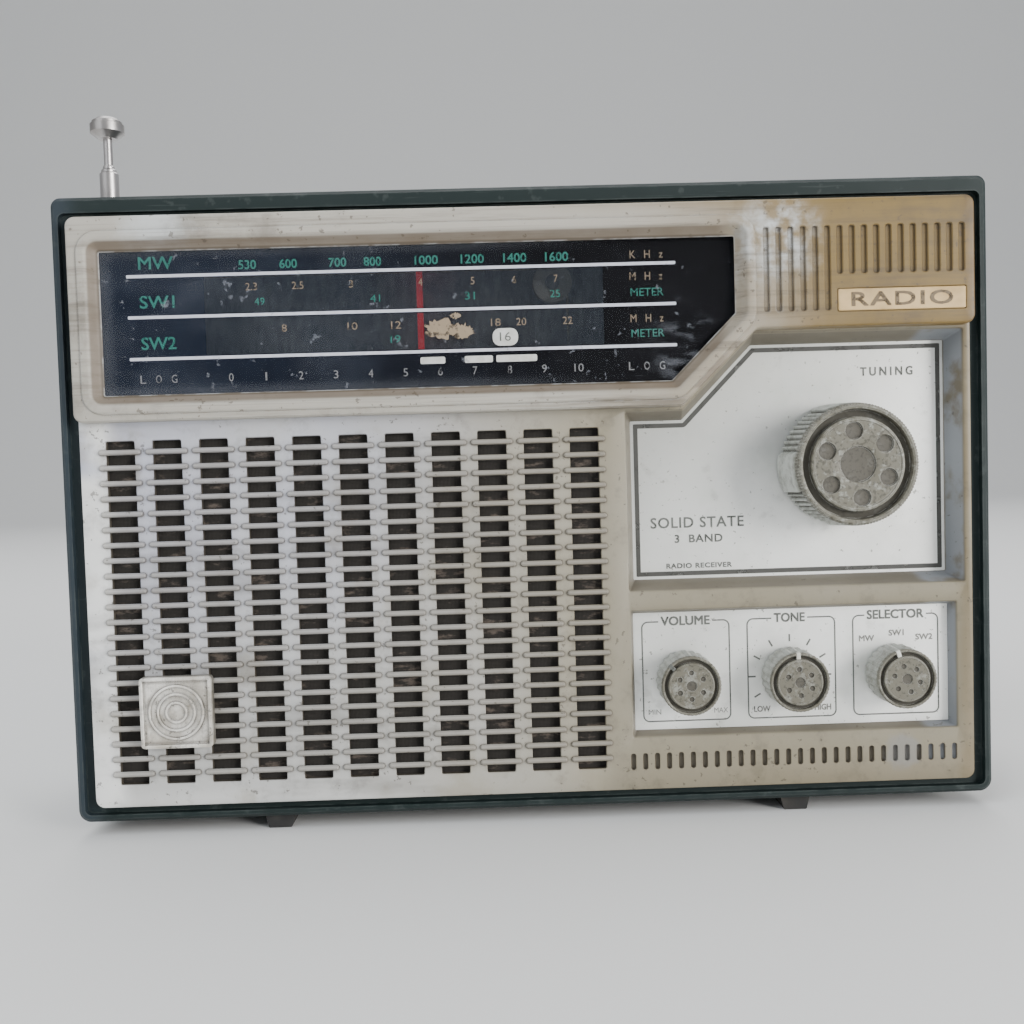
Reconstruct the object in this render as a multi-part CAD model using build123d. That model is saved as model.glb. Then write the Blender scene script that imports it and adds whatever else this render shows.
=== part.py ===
from build123d import *
import math
import os

# Portable three-band radio receiver with a slotted loudspeaker grille, a slide-rule dial, one large
# tuning knob, three small control knobs, a telescopic aerial, a folding handle and a battery bay.
#
# Everything is modelled from the middle of the case's front rim: +X to the right, +Y into the case,
# +Z up. So a negative y is in front of the rim. save() then moves each piece to the row frame, whose
# origin is on the ground under the middle of the whole receiver.

os.makedirs("parts", exist_ok=True)

# ---------------------------------------------------------------- driving dimensions (mm)
CASE_W = 302.0
CASE_H = 200.0
CASE_D = 75.0
CASE_WALL = 2.5
CASE_CORNER = 4.0
RIM_CHAMFER = 1.2
BROW_H = 2.6                   # the front rim stands this far above the case's top
BROW_D = 12.0
BROW_ROOT = 8.0
BROW_CORNER = 3.0
BROW_SLOPE = 2.0
FOOT_H = 5.0
KNOB_PROUD = 12.0            # the tuning knob's face stands this far in front of the rim

PANEL_W = 290.0
PANEL_H = 190.6
PANEL_T = 2.5
LIP_OVERLAP = 1.4            # how far the case's lip reaches behind the panel's edge
LIP_T = 2.0

SLOT_COUNT = 11
SLOT_PITCH = 15.0
SLOT_W = 9.3
SLOT_FIRST_X = -132.0
SLOT_TOP = 24.3
SLOT_BOTTOM = -87.9
BAR_COUNT = 22
BAR_PITCH = 5.0
BAR_TOP_Z = 20.7
BAR_H = 1.7
BAR_LEN = 13.7
BAR_PROUD = 1.1
EMBLEM_AXIS = (-116.4, -63.6)
EMBLEM_SIZE = 23.2
LOUVRE_COUNT = 28
LOUVRE_PITCH = 3.95
LOUVRE_FIRST_X = 31.6
LOUVRE_Z = (-88.7, -83.3)

BEZEL_PROUD = 6.0
BEZEL_OUTLINE = [(-144.7, 30.3), (49.7, 30.3), (74.0, 54.3), (144.7, 54.3), (144.7, 95.3), (-144.7, 95.3)]
WINDOW_OUTLINE = [(-135.2, 38.8), (46.8, 38.8), (67.7, 59.8), (67.7, 84.3), (-135.2, 84.3)]
WINDOW_FACE = 2.0            # the window's face stands this far in front of the rim
WINDOW_LAP = 1.8             # how far the window reaches under the bezel
BEZEL_SLOPE = 3.0
RIB_COUNT = 17
RIB_PITCH = 3.93
RIB_FIRST_X = 77.3
RIB_TOP = 86.3
LONG_RIBS = 6

TUNING_DEPTH = 9.4           # the tuning plate's face lies this far behind the rim
TUNING_SLOPE = 2.9
TUNING_OUTLINE = [(34.2, -26.9), (139.9, -26.9), (139.9, 50.7), (75.1, 50.7), (51.6, 26.5), (34.2, 26.5)]
CONTROL_DEPTH = 4.7
CONTROL_SLOPE = 1.4
CONTROL_X = (33.0, 138.4)
CONTROL_Z = (-76.7, -37.3)
PLATE_T = 1.0
WELL_FLOOR = 1.5
WELL_WALL = 0.6

TUNING_AXIS = (103.6, 10.0)
TUNING_R = 20.0
CONTROL_AXIS_Z = -59.9
CONTROL_AXES_X = (50.0, 85.2, 120.0)
CONTROL_R = 10.0
CONTROL_PROUD = 7.5
SHAFT_R = 3.0
RUNNING = 0.05               # radial clearance of every running fit

DRUM_AXIS = (50.0, 8.0)
DRUM_CORD_R = 35.0
CAPSTAN_CORD_R = 4.0
PULLEY_CORD_R = 5.0
CORD_R = 0.4
CORD_Y = 16.0
PULLEY_LEFT = (-112.0, 84.0)
PULLEY_RIGHT = (TUNING_AXIS[0] + CAPSTAN_CORD_R - PULLEY_CORD_R, 84.0)
PULLEY_LOWER = (10.0, 74.0)
GROOVE_DEPTH = 1.6
PULLEY_AXLE_R = 1.2

POINTER_X = -34.0
RAIL_Z = 87.0
RAIL_Y = 10.0
RAIL_R = 1.25
RAIL_X = (-124.0, 64.0)

CHASSIS_Y = 24.0
CHASSIS_T = 1.5
PCB_Y = 44.0
PCB_T = 1.6

SPEAKER_AXIS = (-57.0, -32.0)
SPEAKER_R = 51.0
SPEAKER_HOLE = 37.5          # each fixing hole is this far from the axis, both ways

BAY_X = (-124.0, 0.0)
BAY_Z = (32.0, 92.0)
BAY_Y = 40.0
BAY_WALL = 1.5
COVER_T = 2.5
COVER_GAP = 0.2
DOOR_X = (-122.0, -2.0)
DOOR_Z = (34.0, 91.0)
DOOR_GAP = 0.3
DOOR_KNUCKLE_R = 1.25
DOOR_STUB_R = 0.8
POST_X = 143.0
POST_Z = 92.0
POST_R = 6.5

AERIAL_AXIS = (-142.7, 32.0)
AERIAL_TUBES = [(4.0, 3.28), (3.2, 2.68), (2.6, 2.08), (2.0, 1.58)]
AERIAL_TOPS = [100.5, 119.0, 120.2, 121.4]
AERIAL_BOTTOMS = [-75.0, -51.0, -48.0, -45.0]
AERIAL_ROD_R = 1.5
AERIAL_BUTTON = (5.7, 130.6, 137.6)

HANDLE_X = 112.0
HANDLE_PIVOT = (40.0, CASE_H / 2 + 4.5)
HANDLE_REACH = 27.0
HANDLE_T = 8.0
HANDLE_ARM_W = 6.0

JACK_Y = 34.0
JACK_Z = -30.0
JACK_R = 1.8

TOTAL_D = CASE_D + KNOB_PROUD
RIM_Y = KNOB_PROUD - TOTAL_D / 2
MID_Z = FOOT_H + CASE_H / 2


# ---------------------------------------------------------------- helpers
def save(name, shape):
    """Move a shape to the row frame and write it as one node."""
    export_step(Pos(0, RIM_Y, MID_Z) * shape, f"parts/{name}.step")


def block(x0, x1, y0, y1, z0, z1):
    """A rectangular block between two corners."""
    centre = Pos((x0 + x1) / 2, (y0 + y1) / 2, (z0 + z1) / 2)
    return centre * Box(x1 - x0, y1 - y0, z1 - z0)


def slab(sketch, y0, y1):
    """A flat shape drawn in x and z, filling y0 to y1."""
    return extrude(Plane.XZ.offset(-y1) * sketch, y1 - y0)


def rod_x(r, x0, x1, y, z):
    """A round rod along X."""
    return Pos((x0 + x1) / 2, y, z) * Rot(0, 90, 0) * Cylinder(r, x1 - x0)


def rod_y(r, y0, y1, x, z):
    """A round rod along Y."""
    return Pos(x, (y0 + y1) / 2, z) * Rot(90, 0, 0) * Cylinder(r, y1 - y0)


def rod_z(r, z0, z1, x, y):
    """A round rod along Z."""
    return Pos(x, y, (z0 + z1) / 2) * Cylinder(r, z1 - z0)


def turned_y(points, x=0.0, z=0.0):
    """A turned solid about a line along Y, from (radius, y) points."""
    return Pos(x, 0, z) * revolve(Polygon(*points, align=None), Axis.Y)


def turned_z(points, x, y):
    """A turned solid about a line along Z, from (radius, z) points."""
    return Pos(x, y, 0) * revolve(Plane.XZ * Polygon(*points, align=None), Axis.Z)


def outline(points, r=0.0, grow=0.0):
    """A closed polygon, grown or shrunk, with rounded corners."""
    shape = Polygon(*points, align=None)
    if grow:
        shape = offset(shape, amount=grow, kind=Kind.INTERSECTION)
    return fillet(shape.vertices(), r) if r else shape


def tapered(sketch, y_deep, y_face, widening):
    """A pocket that widens from its floor at y_deep to its mouth at y_face."""
    depth = y_deep - y_face
    taper = -math.degrees(math.atan(widening / depth))
    return extrude(Plane.XZ.offset(-y_deep) * sketch, depth, taper=taper)


def around(r, count, start=0.0):
    """Points spaced evenly round a circle."""
    for k in range(count):
        angle = math.radians(start + 360.0 * k / count)
        yield r * math.cos(angle), r * math.sin(angle)


# ---------------------------------------------------------------- case
def cabinet_shell():
    """The moulded case: four walls, a raised brow, a front lip, four rear posts, two holes."""
    shell = slab(RectangleRounded(CASE_W, CASE_H, CASE_CORNER), 0, CASE_D) + brow()
    shell = chamfer(shell.faces().sort_by(Axis.Y)[0].edges(), RIM_CHAMFER)
    inner_w = CASE_W - 2 * CASE_WALL
    inner_h = CASE_H - 2 * CASE_WALL
    cavity = RectangleRounded(inner_w, inner_h, CASE_CORNER - CASE_WALL + 0.5)
    shell -= slab(cavity, -1, CASE_D + 1)
    lip_hole = RectangleRounded(PANEL_W - 2 * LIP_OVERLAP, PANEL_H - 2 * LIP_OVERLAP, 1.5)
    lip = slab(RectangleRounded(inner_w + 1, inner_h + 1, 2.0) - lip_hole, PANEL_T, PANEL_T + LIP_T)
    shell += lip
    for x in (-POST_X, POST_X):
        for z in (-POST_Z, POST_Z):
            shell += rod_y(POST_R, CASE_D - 22, CASE_D - COVER_T, x, z)
            shell -= rod_y(1.45, CASE_D - 16, CASE_D, x, z)
    shell -= slab(cavity, CASE_D - COVER_T, CASE_D + 1)
    shell -= rod_z(5.0, CASE_H / 2 - 5, CASE_H / 2 + 1, *AERIAL_AXIS)
    shell -= rod_x(4.0, CASE_W / 2 - 5, CASE_W / 2 + 1, JACK_Y, JACK_Z)
    return shell + antenna_bracket()


def brow():
    """The top of the front rim, which stands a little above the case behind it."""
    strip = slab(RectangleRounded(CASE_W, CASE_H + 2 * BROW_H, BROW_CORNER), 0, BROW_D)
    strip -= block(-CASE_W, CASE_W, -1, BROW_D + 1, -CASE_H, CASE_H / 2 - BROW_ROOT)
    back = strip.faces().sort_by(Axis.Y)[-1]
    return chamfer(back.edges().sort_by(Axis.Z)[-1], BROW_SLOPE)


def antenna_bracket():
    """The moulded lug in the case's left wall that holds the foot of the fixed aerial tube."""
    x, y = AERIAL_AXIS
    wall = -CASE_W / 2 + CASE_WALL
    lug = block(wall - 0.5, x + 6, y - 6, y + 6, -73, -65)
    return lug - rod_z(AERIAL_TUBES[0][0] + 0.02, -80, -60, x, y)


def feet():
    """Four rubber feet, narrower at the ground."""
    bottom = -CASE_H / 2
    profile = [(5, bottom), (-5, bottom), (-3.8, bottom - FOOT_H), (3.8, bottom - FOOT_H)]
    pads = []
    for x in (-86, 86):
        for y in (4, 60):
            pads.append(Pos(x, 0, 0) * slab(outline(profile, 0.6), y, y + 11))
    return Compound(pads)


TRIM_LINES = (4.0, 9.0, 14.0)   # three shallow grooves across the back plate
TRIM_REACH = 134.0
TRIM_DEEP = 0.6
LABEL_X = (34.0, 118.0)         # the shallow pocket that the paper label is stuck in
LABEL_Z = (30.0, 76.0)
LABEL_DEEP = 0.5


def rear_cover():
    """The back plate, with sound vents, the battery opening, screw holes and hinge bores."""
    w = CASE_W - 2 * CASE_WALL - 2 * COVER_GAP
    h = CASE_H - 2 * CASE_WALL - 2 * COVER_GAP
    y0 = CASE_D - COVER_T
    cover = slab(RectangleRounded(w, h, 1.8), y0, CASE_D)
    cover -= block(*DOOR_X, y0 - 1, CASE_D + 1, *DOOR_Z)
    vents = []
    for row in range(8):
        z = -78.0 + 9.0 * row
        for x in (-90, -30, 60):
            vents.append(block(x - 22, x + 22, y0 - 1, CASE_D + 1, z, z + 3.2))
    cover -= vents
    cover -= [block(-TRIM_REACH, TRIM_REACH, CASE_D - TRIM_DEEP, CASE_D + 1, z - 0.6, z + 0.6)
              for z in TRIM_LINES]
    cover -= block(*LABEL_X, CASE_D - LABEL_DEEP, CASE_D + 1, *LABEL_Z)
    for x in (-POST_X, POST_X):
        for z in (-POST_Z, POST_Z):
            cover -= rod_y(1.8, y0 - 1, CASE_D + 1, x, z)
            cover -= rod_y(3.6, CASE_D - 1.2, CASE_D + 1, x, z)
    bore = DOOR_STUB_R + RUNNING
    cover -= rod_x(bore, DOOR_X[0] - 2.6, DOOR_X[1] + 2.6, CASE_D - COVER_T / 2, door_axis_z())
    return cover


def door_axis_z():
    """Height of the battery door's hinge line."""
    return DOOR_Z[0] + DOOR_KNUCKLE_R + 0.15


def case_screws():
    """Four pan-head screws that hold the back plate."""
    screws = []
    for x in (-POST_X, POST_X):
        for z in (-POST_Z, POST_Z):
            screw = rod_y(3.4, CASE_D - 1.2, CASE_D - 0.1, x, z)
            screw += rod_y(1.4, CASE_D - 14, CASE_D - 1.2, x, z)
            screw -= block(x - 2.4, x + 2.4, CASE_D - 0.6, CASE_D, z - 0.4, z + 0.4)
            screw -= block(x - 0.4, x + 0.4, CASE_D - 0.6, CASE_D, z - 2.4, z + 2.4)
            screws.append(screw)
    return Compound(screws)


# ---------------------------------------------------------------- front
def grille_cells():
    """The open cells between the bars, in every vertical slot."""
    half = BAR_H / 2
    edges = [SLOT_TOP]
    for k in range(BAR_COUNT):
        edges += [BAR_TOP_Z - BAR_PITCH * k + half, BAR_TOP_Z - BAR_PITCH * k - half]
    edges.append(SLOT_BOTTOM)
    cells = []
    for column in range(SLOT_COUNT):
        x = SLOT_FIRST_X + SLOT_PITCH * column
        for top, low in zip(edges[0::2], edges[1::2]):
            cells.append(block(x - SLOT_W / 2, x + SLOT_W / 2, -0.5, PANEL_T + 0.5, low, top))
    return cells


def grille_bars():
    """Short bars with round ends, standing proud of the strips they bridge."""
    flat = BAR_LEN / 2 - BAR_H / 2
    bars = []
    for column in range(SLOT_COUNT):
        for row in range(BAR_COUNT):
            x = SLOT_FIRST_X + SLOT_PITCH * column
            z = BAR_TOP_Z - BAR_PITCH * row
            pill = Pos(x, z) * SlotCenterToCenter(2 * flat, BAR_H)
            bars.append(slab(pill, -BAR_PROUD, 0.2))
    return bars


def front_panel():
    """The moulded front: grille, two wells with sloped walls, louvres, window and bosses."""
    panel = slab(RectangleRounded(PANEL_W, PANEL_H, 3.0), 0, PANEL_T)
    tuning_mouth = outline(TUNING_OUTLINE, 0, TUNING_SLOPE)
    floor_back = TUNING_DEPTH + PLATE_T + WELL_FLOOR
    panel += slab(offset(tuning_mouth, WELL_WALL, kind=Kind.INTERSECTION), PANEL_T - 1, floor_back)
    panel -= tapered(outline(TUNING_OUTLINE), TUNING_DEPTH, -0.001, TUNING_SLOPE)
    panel -= slab(outline(TUNING_OUTLINE), TUNING_DEPTH - 0.1, TUNING_DEPTH + PLATE_T)
    control = Pos(sum(CONTROL_X) / 2, sum(CONTROL_Z) / 2) * Rectangle(
        CONTROL_X[1] - CONTROL_X[0], CONTROL_Z[1] - CONTROL_Z[0])
    mouth = offset(control, CONTROL_SLOPE + 1.2, kind=Kind.INTERSECTION)
    panel += slab(mouth, PANEL_T - 1, CONTROL_DEPTH + PLATE_T + WELL_FLOOR)
    panel -= tapered(control, CONTROL_DEPTH, -0.001, CONTROL_SLOPE)
    panel -= slab(control, CONTROL_DEPTH - 0.1, CONTROL_DEPTH + PLATE_T)
    panel -= rod_y(5.1, 0, 20, *TUNING_AXIS)
    for x in CONTROL_AXES_X:
        panel -= rod_y(3.8, 0, 20, x, CONTROL_AXIS_Z)
    panel -= slab(outline(WINDOW_OUTLINE), -1, PANEL_T + 1)
    louvres = []
    for k in range(LOUVRE_COUNT):
        x = LOUVRE_FIRST_X + LOUVRE_PITCH * k
        louvres.append(block(x - 0.8, x + 0.8, -1, 1.2, *LOUVRE_Z))
    panel -= louvres
    for x, z in speaker_holes():
        panel += rod_y(2.7, PANEL_T - 0.5, 4.0, x, z)
        panel -= rod_y(1.45, 1.0, 5, x, z)
    panel -= grille_cells()
    panel += grille_bars()
    return panel


def dial_bezel():
    """The raised frame round the dial window, with a ribbed block at the right."""
    bezel = slab(outline(BEZEL_OUTLINE, 3.0), -BEZEL_PROUD, 0)
    bezel = fillet(bezel.faces().sort_by(Axis.Y)[0].edges(), 1.2)
    window = outline(WINDOW_OUTLINE)
    bezel -= slab(window, -BEZEL_PROUD, 1)
    bezel -= tapered(window, -WINDOW_FACE, -BEZEL_PROUD - 0.001, BEZEL_SLOPE)
    bezel -= slab(outline(WINDOW_OUTLINE, 0, WINDOW_LAP + 0.1), -WINDOW_FACE, 1)
    ribs = []
    for k in range(RIB_COUNT):
        x = RIB_FIRST_X + RIB_PITCH * k
        low = 59.5 if k < LONG_RIBS else 71.0
        ribs.append(block(x - 0.9, x + 0.9, -BEZEL_PROUD - 1, -BEZEL_PROUD + 0.8, low, RIB_TOP))
    bezel -= ribs
    bezel -= block(100, 141.5, -BEZEL_PROUD - 1, -BEZEL_PROUD + 0.5, 59.0, 66.3)
    return bezel


def dial_window():
    """The clear dial window, held between the bezel and the panel."""
    return slab(outline(WINDOW_OUTLINE, 0, WINDOW_LAP), -WINDOW_FACE, 0)


def nameplate_badge():
    """A thin plate let into the bezel."""
    plate = block(100.2, 141.3, -BEZEL_PROUD - 0.3, -BEZEL_PROUD + 0.5, 59.2, 66.1)
    return fillet(plate.faces().sort_by(Axis.Y)[0].edges(), 0.25)


def grille_emblem():
    """A square tray badge that clips to the grille, with concentric rings in its face."""
    x, z = EMBLEM_AXIS
    size = EMBLEM_SIZE
    badge = slab(Pos(x, z) * RectangleRounded(size, size, 1.5), -4.5, -BAR_PROUD)
    badge -= slab(Pos(x, z) * RectangleRounded(size - 2.4, size - 2.4, 1.0), -5, -3.9)
    for r in (8.5, 6.0, 3.5):
        badge += rod_y(r, -4.3, -3.8, x, z) - rod_y(r - 0.8, -5, 0, x, z)
    for px, pz in emblem_pegs():
        badge += rod_y(1.2, -BAR_PROUD - 0.2, PANEL_T + 1, px, pz)
    return badge


def emblem_pegs():
    """The two pegs of the emblem, each in an open cell of the grille's second slot."""
    x = SLOT_FIRST_X + SLOT_PITCH
    for bar in (15, 18):
        yield x, BAR_TOP_Z - BAR_PITCH * (bar + 0.5)


def tuning_plate():
    """The aluminium plate in the floor of the tuning well."""
    plate = slab(outline(TUNING_OUTLINE, 0, -0.1), TUNING_DEPTH, TUNING_DEPTH + PLATE_T)
    return plate - rod_y(5.1, 0, 20, *TUNING_AXIS)


def control_plate():
    """The aluminium plate in the floor of the control well."""
    plate = block(CONTROL_X[0] + 0.1, CONTROL_X[1] - 0.1, CONTROL_DEPTH, CONTROL_DEPTH + PLATE_T,
                  CONTROL_Z[0] + 0.1, CONTROL_Z[1] - 0.1)
    for x in CONTROL_AXES_X:
        plate -= rod_y(3.8, 0, 20, x, CONTROL_AXIS_Z)
    return plate


def grille_cloth():
    """Thin cloth behind the grille, cut out round the loudspeaker bosses."""
    cloth = block(-138.0, 24.5, PANEL_T, PANEL_T + 0.4, -90.0, 27.0)
    for x, z in speaker_holes():
        cloth -= rod_y(2.9, 0, 5, x, z)
    for x, z in emblem_pegs():
        cloth -= rod_y(1.3, 0, 5, x, z)
    return cloth


# ---------------------------------------------------------------- knobs
def knob(x, z, r, y_face, y_back, flutes, pads, recess_r, recess_d):
    """A fluted knob with a ringed face, six dimples and a blind shaft bore."""
    k = r / TUNING_R
    body = rod_y(r, y_face, y_back, x, z)
    body = chamfer(body.faces().sort_by(Axis.Y)[0].edges(), 0.8 * k)
    body -= rod_y(17.5 * k, y_face - 1, y_face + 1.6 * k, x, z) - rod_y(15.0 * k, y_face - 2, y_face + 9, x, z)
    body -= rod_y(6.2 * k, y_face - 1, y_face + 0.8 * k, x, z)
    dimples = []
    for dx, dz in around(10.7 * k, 6, 36.0):
        dimples.append(rod_y(3.0 * k, y_face - 1, y_face + 0.8 * k, x + dx, z + dz))
    body -= dimples
    cuts = []
    for dx, dz in around(r + 0.25 * k, flutes, 0.0):
        angle = math.degrees(math.atan2(dz, dx)) - 8.0
        near_pad = abs((angle + 45.0) % 90.0 - 45.0) < 19.0
        if not (pads and near_pad):
            cuts.append(rod_y(0.85 * k, y_face + 4.0 * k, y_back + 1, x + dx, z + dz))
    body -= cuts
    body -= rod_y(recess_r, y_back - recess_d, y_back + 1, x, z)
    body -= rod_y(SHAFT_R + 0.02, y_face + 4.0 * k, y_back + 1, x, z)
    return body


def tuning_knob():
    """The large tuning knob, with four smooth pads on its barrel."""
    return knob(*TUNING_AXIS, TUNING_R, -KNOB_PROUD, TUNING_DEPTH - 0.5, 60, True, 8.5, 3.5)


def control_knob(x):
    """One small control knob."""
    return knob(x, CONTROL_AXIS_Z, CONTROL_R, -CONTROL_PROUD, CONTROL_DEPTH - 0.5, 30, False, 7.0, 3.0)


def tuning_spindle():
    """The tuning spindle, with a grooved capstan for the dial cord."""
    x, z = TUNING_AXIS
    spindle = rod_y(SHAFT_R, -KNOB_PROUD + 4.2, CHASSIS_Y + 4, x, z)
    return spindle + sheave(x, z, CAPSTAN_CORD_R, SHAFT_R - 0.5)


def sheave(x, z, cord_r, bore_r):
    """A grooved ring that the dial cord runs in."""
    rim = cord_r + GROOVE_DEPTH
    floor = cord_r - CORD_R - 0.05
    profile = [(bore_r, CORD_Y - 2), (rim, CORD_Y - 2), (floor, CORD_Y - 1), (floor, CORD_Y + 1),
               (rim, CORD_Y + 2), (bore_r, CORD_Y + 2)]
    return turned_y(profile, x, z)


def tuning_bushing():
    """The flanged brass bushing in which the tuning spindle turns."""
    bushing = turned_y([(SHAFT_R + RUNNING, 8.0), (7.0, 8.0), (7.0, TUNING_DEPTH), (5.0, TUNING_DEPTH),
                        (5.0, 12.0), (7.5, 12.0), (7.5, 13.3), (SHAFT_R + RUNNING, 13.3)], *TUNING_AXIS)
    return bushing


def control_shaft(x, y_end):
    """The steel shaft of one small control."""
    return rod_y(SHAFT_R, -CONTROL_PROUD + 2.2, y_end - 1.5, x, CONTROL_AXIS_Z)


def control_body(x, r, y_end, lugs):
    """A potentiometer or switch: threaded bushing, round can, solder lugs and a blind bore."""
    z = CONTROL_AXIS_Z
    back = CONTROL_DEPTH + PLATE_T + WELL_FLOOR
    body = rod_y(3.6, 2.2, back, x, z) + rod_y(r, back, y_end, x, z)
    for k in range(lugs):
        dx = -6.0 + 12.0 * k / (lugs - 1)
        body += block(x + dx - 0.6, x + dx + 0.6, back + 2, back + 2.8, z - r - 6, z - r + 2)
    return body - rod_y(SHAFT_R + RUNNING, 0, y_end - 1, x, z)


def pot_nuts():
    """Three hexagon nuts that clamp the controls to their plate."""
    nuts = []
    for x in CONTROL_AXES_X:
        hexagon = Pos(x, CONTROL_AXIS_Z) * RegularPolygon(5.6, 6)
        nut = slab(hexagon, CONTROL_DEPTH - 2.0, CONTROL_DEPTH)
        nuts.append(nut - rod_y(3.62, 0, 10, x, CONTROL_AXIS_Z))
    return Compound(nuts)


# ---------------------------------------------------------------- dial drive
def dial_chassis():
    """The bent steel plate that carries the dial drive."""
    plate = block(-130, 140, CHASSIS_Y, CHASSIS_Y + CHASSIS_T, 31.5, 92.5)
    plate += block(12, 140, CHASSIS_Y, CHASSIS_Y + CHASSIS_T, -31.0, 32.0)
    plate += block(-130, 140, PANEL_T + 0.5, CHASSIS_Y + 1, 91.3, 92.5)
    plate -= rod_y(6.5, 20, 30, *DRUM_AXIS)
    plate -= rod_y(SHAFT_R + RUNNING, 20, 30, *TUNING_AXIS)
    for x, z in (PULLEY_LEFT, PULLEY_RIGHT, PULLEY_LOWER):
        plate -= rod_y(PULLEY_AXLE_R + 0.02, 20, 30, x, z)
    return plate


def dial_drum():
    """The cord drum with its spokes and the shaft that turns the tuning capacitor."""
    x, z = DRUM_AXIS
    drum = sheave(x, z, DRUM_CORD_R, 3.0)
    for dx, dz in around(20.0, 6, 30.0):
        drum -= rod_y(7.0, CORD_Y - 3, CORD_Y + 3, x + dx, z + dz)
    drum += rod_y(6.0, CORD_Y - 2, CHASSIS_Y - 1, x, z)
    return drum + rod_y(SHAFT_R, CORD_Y - 2, PCB_Y - 8, x, z)


def cord_spring():
    """The small tension spring in one window of the drum."""
    x, z = DRUM_AXIS
    spring = rod_x(2.0, x - 6, x + 6, CORD_Y, z + 20.0) - rod_x(1.5, x - 7, x + 7, CORD_Y, z + 20.0)
    return spring


def pulley(centre):
    """One small cord pulley."""
    return sheave(*centre, PULLEY_CORD_R, PULLEY_AXLE_R + RUNNING)


def pulley_axles():
    """Three headed pins on which the cord pulleys turn."""
    pins = []
    for x, z in (PULLEY_LEFT, PULLEY_RIGHT, PULLEY_LOWER):
        pin = rod_y(PULLEY_AXLE_R, CORD_Y - 3, CHASSIS_Y + CHASSIS_T, x, z)
        pin += rod_y(2.4, CORD_Y - 3.4, CORD_Y - 2.3, x, z)
        pin += rod_y(2.4, CORD_Y + 2.3, CHASSIS_Y, x, z)
        pins.append(pin)
    return Compound(pins)


def tangent_line(a, ra, sa, b, rb, sb):
    """The points where a taut cord leaves circle a and meets circle b. s is +1 for clockwise."""
    dx, dz = b[0] - a[0], b[1] - a[1]
    heading = math.atan2(dz, dx) - math.asin((sa * ra - sb * rb) / math.hypot(dx, dz))
    normal = (-math.sin(heading), math.cos(heading))
    start = (a[0] + sa * ra * normal[0], a[1] + sa * ra * normal[1])
    end = (b[0] + sb * rb * normal[0], b[1] + sb * rb * normal[1])
    return start, end


def dial_cord():
    """The endless dial cord: drum, lower pulley, left pulley, right pulley and capstan."""
    wheels = [(DRUM_AXIS, DRUM_CORD_R, 1), (PULLEY_LOWER, PULLEY_CORD_R, -1),
              (PULLEY_LEFT, PULLEY_CORD_R, 1), (PULLEY_RIGHT, PULLEY_CORD_R, 1),
              (TUNING_AXIS, CAPSTAN_CORD_R, 1)]
    runs = []
    for k, wheel in enumerate(wheels):
        runs.append(tangent_line(*wheel, *wheels[(k + 1) % len(wheels)]))
    cord = None
    for k, (start, end) in enumerate(runs):
        centre, r, turn = wheels[(k + 1) % len(wheels)]
        leave = runs[(k + 1) % len(runs)][0]
        a0 = math.atan2(end[1] - centre[1], end[0] - centre[0])
        a1 = math.atan2(leave[1] - centre[1], leave[0] - centre[0])
        sweep_angle = (turn * (a0 - a1)) % (2 * math.pi)
        middle = a0 - turn * sweep_angle / 2
        half_way = (centre[0] + r * math.cos(middle), centre[1] + r * math.sin(middle))
        path = Line((start[0], CORD_Y, start[1]), (end[0], CORD_Y, end[1]))
        bend = ThreePointArc((end[0], CORD_Y, end[1]), (half_way[0], CORD_Y, half_way[1]),
                             (leave[0], CORD_Y, leave[1]))
        piece = cord_tube(path) + cord_tube(bend)
        cord = piece if cord is None else cord + piece
    return cord


def cord_tube(path):
    """A round cord along one run or one bend."""
    section = Plane(origin=path @ 0, z_dir=path % 0) * Circle(CORD_R)
    return sweep(section, path=path)


def pointer_rail():
    """The round rail that guides the pointer, on two brackets."""
    rail = rod_x(RAIL_R, *RAIL_X, RAIL_Y, RAIL_Z)
    for x in (RAIL_X[0], RAIL_X[1] - 4):
        rail += block(x, x + 4, RAIL_Y - 2, CHASSIS_Y, RAIL_Z - 3, RAIL_Z + 1)
    return rail


def dial_pointer():
    """The pointer: a thin blade on a carriage that rides the rail and holds the cord."""
    x = POINTER_X
    cord_z = PULLEY_LEFT[1] + PULLEY_CORD_R
    carriage = block(x - 4, x + 4, 7.0, CORD_Y + 2, RAIL_Z - 2.5, cord_z + 1.8)
    carriage -= rod_x(RAIL_R + RUNNING, x - 6, x + 6, RAIL_Y, RAIL_Z)
    carriage -= block(x - 6, x + 6, 12.5, CORD_Y + 3, RAIL_Z - 4, cord_z - 1.2)
    carriage -= rod_x(CORD_R + 0.3, x - 6, x + 6, CORD_Y, cord_z)
    blade = block(x - 1.0, x + 1.0, 3.4, 4.2, 46.0, RAIL_Z - 1)
    bridge = block(x - 1.0, x + 1.0, 3.4, 7.5, RAIL_Z - 2.5, RAIL_Z - 0.5)
    return carriage + blade + bridge


# ---------------------------------------------------------------- electronics
def main_pcb():
    """The phenolic circuit board, with clearance round the chassis fixings."""
    board = block(12, 140, PCB_Y, PCB_Y + PCB_T, -90, 70)
    for x in (17, 135):
        for z in (-85, 65):
            board -= rod_y(1.7, PCB_Y - 1, PCB_Y + 3, x, z)
    return board


def on_board(places, shape):
    """Repeat a part that stands on the board's rear face."""
    return Compound([Pos(x, PCB_Y + PCB_T, z) * shape for x, z in places])


def if_transformers():
    """Four screened intermediate-frequency transformers with a slotted core."""
    can = block(-3.5, 3.5, 0, 10, -3.5, 3.5)
    can = fillet(can.edges().filter_by(Axis.Y), 0.8)
    can -= rod_y(1.8, 9, 11, 0, 0)
    return on_board([(40, 40), (60, 40), (80, 40), (100, 40)], can)


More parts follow.
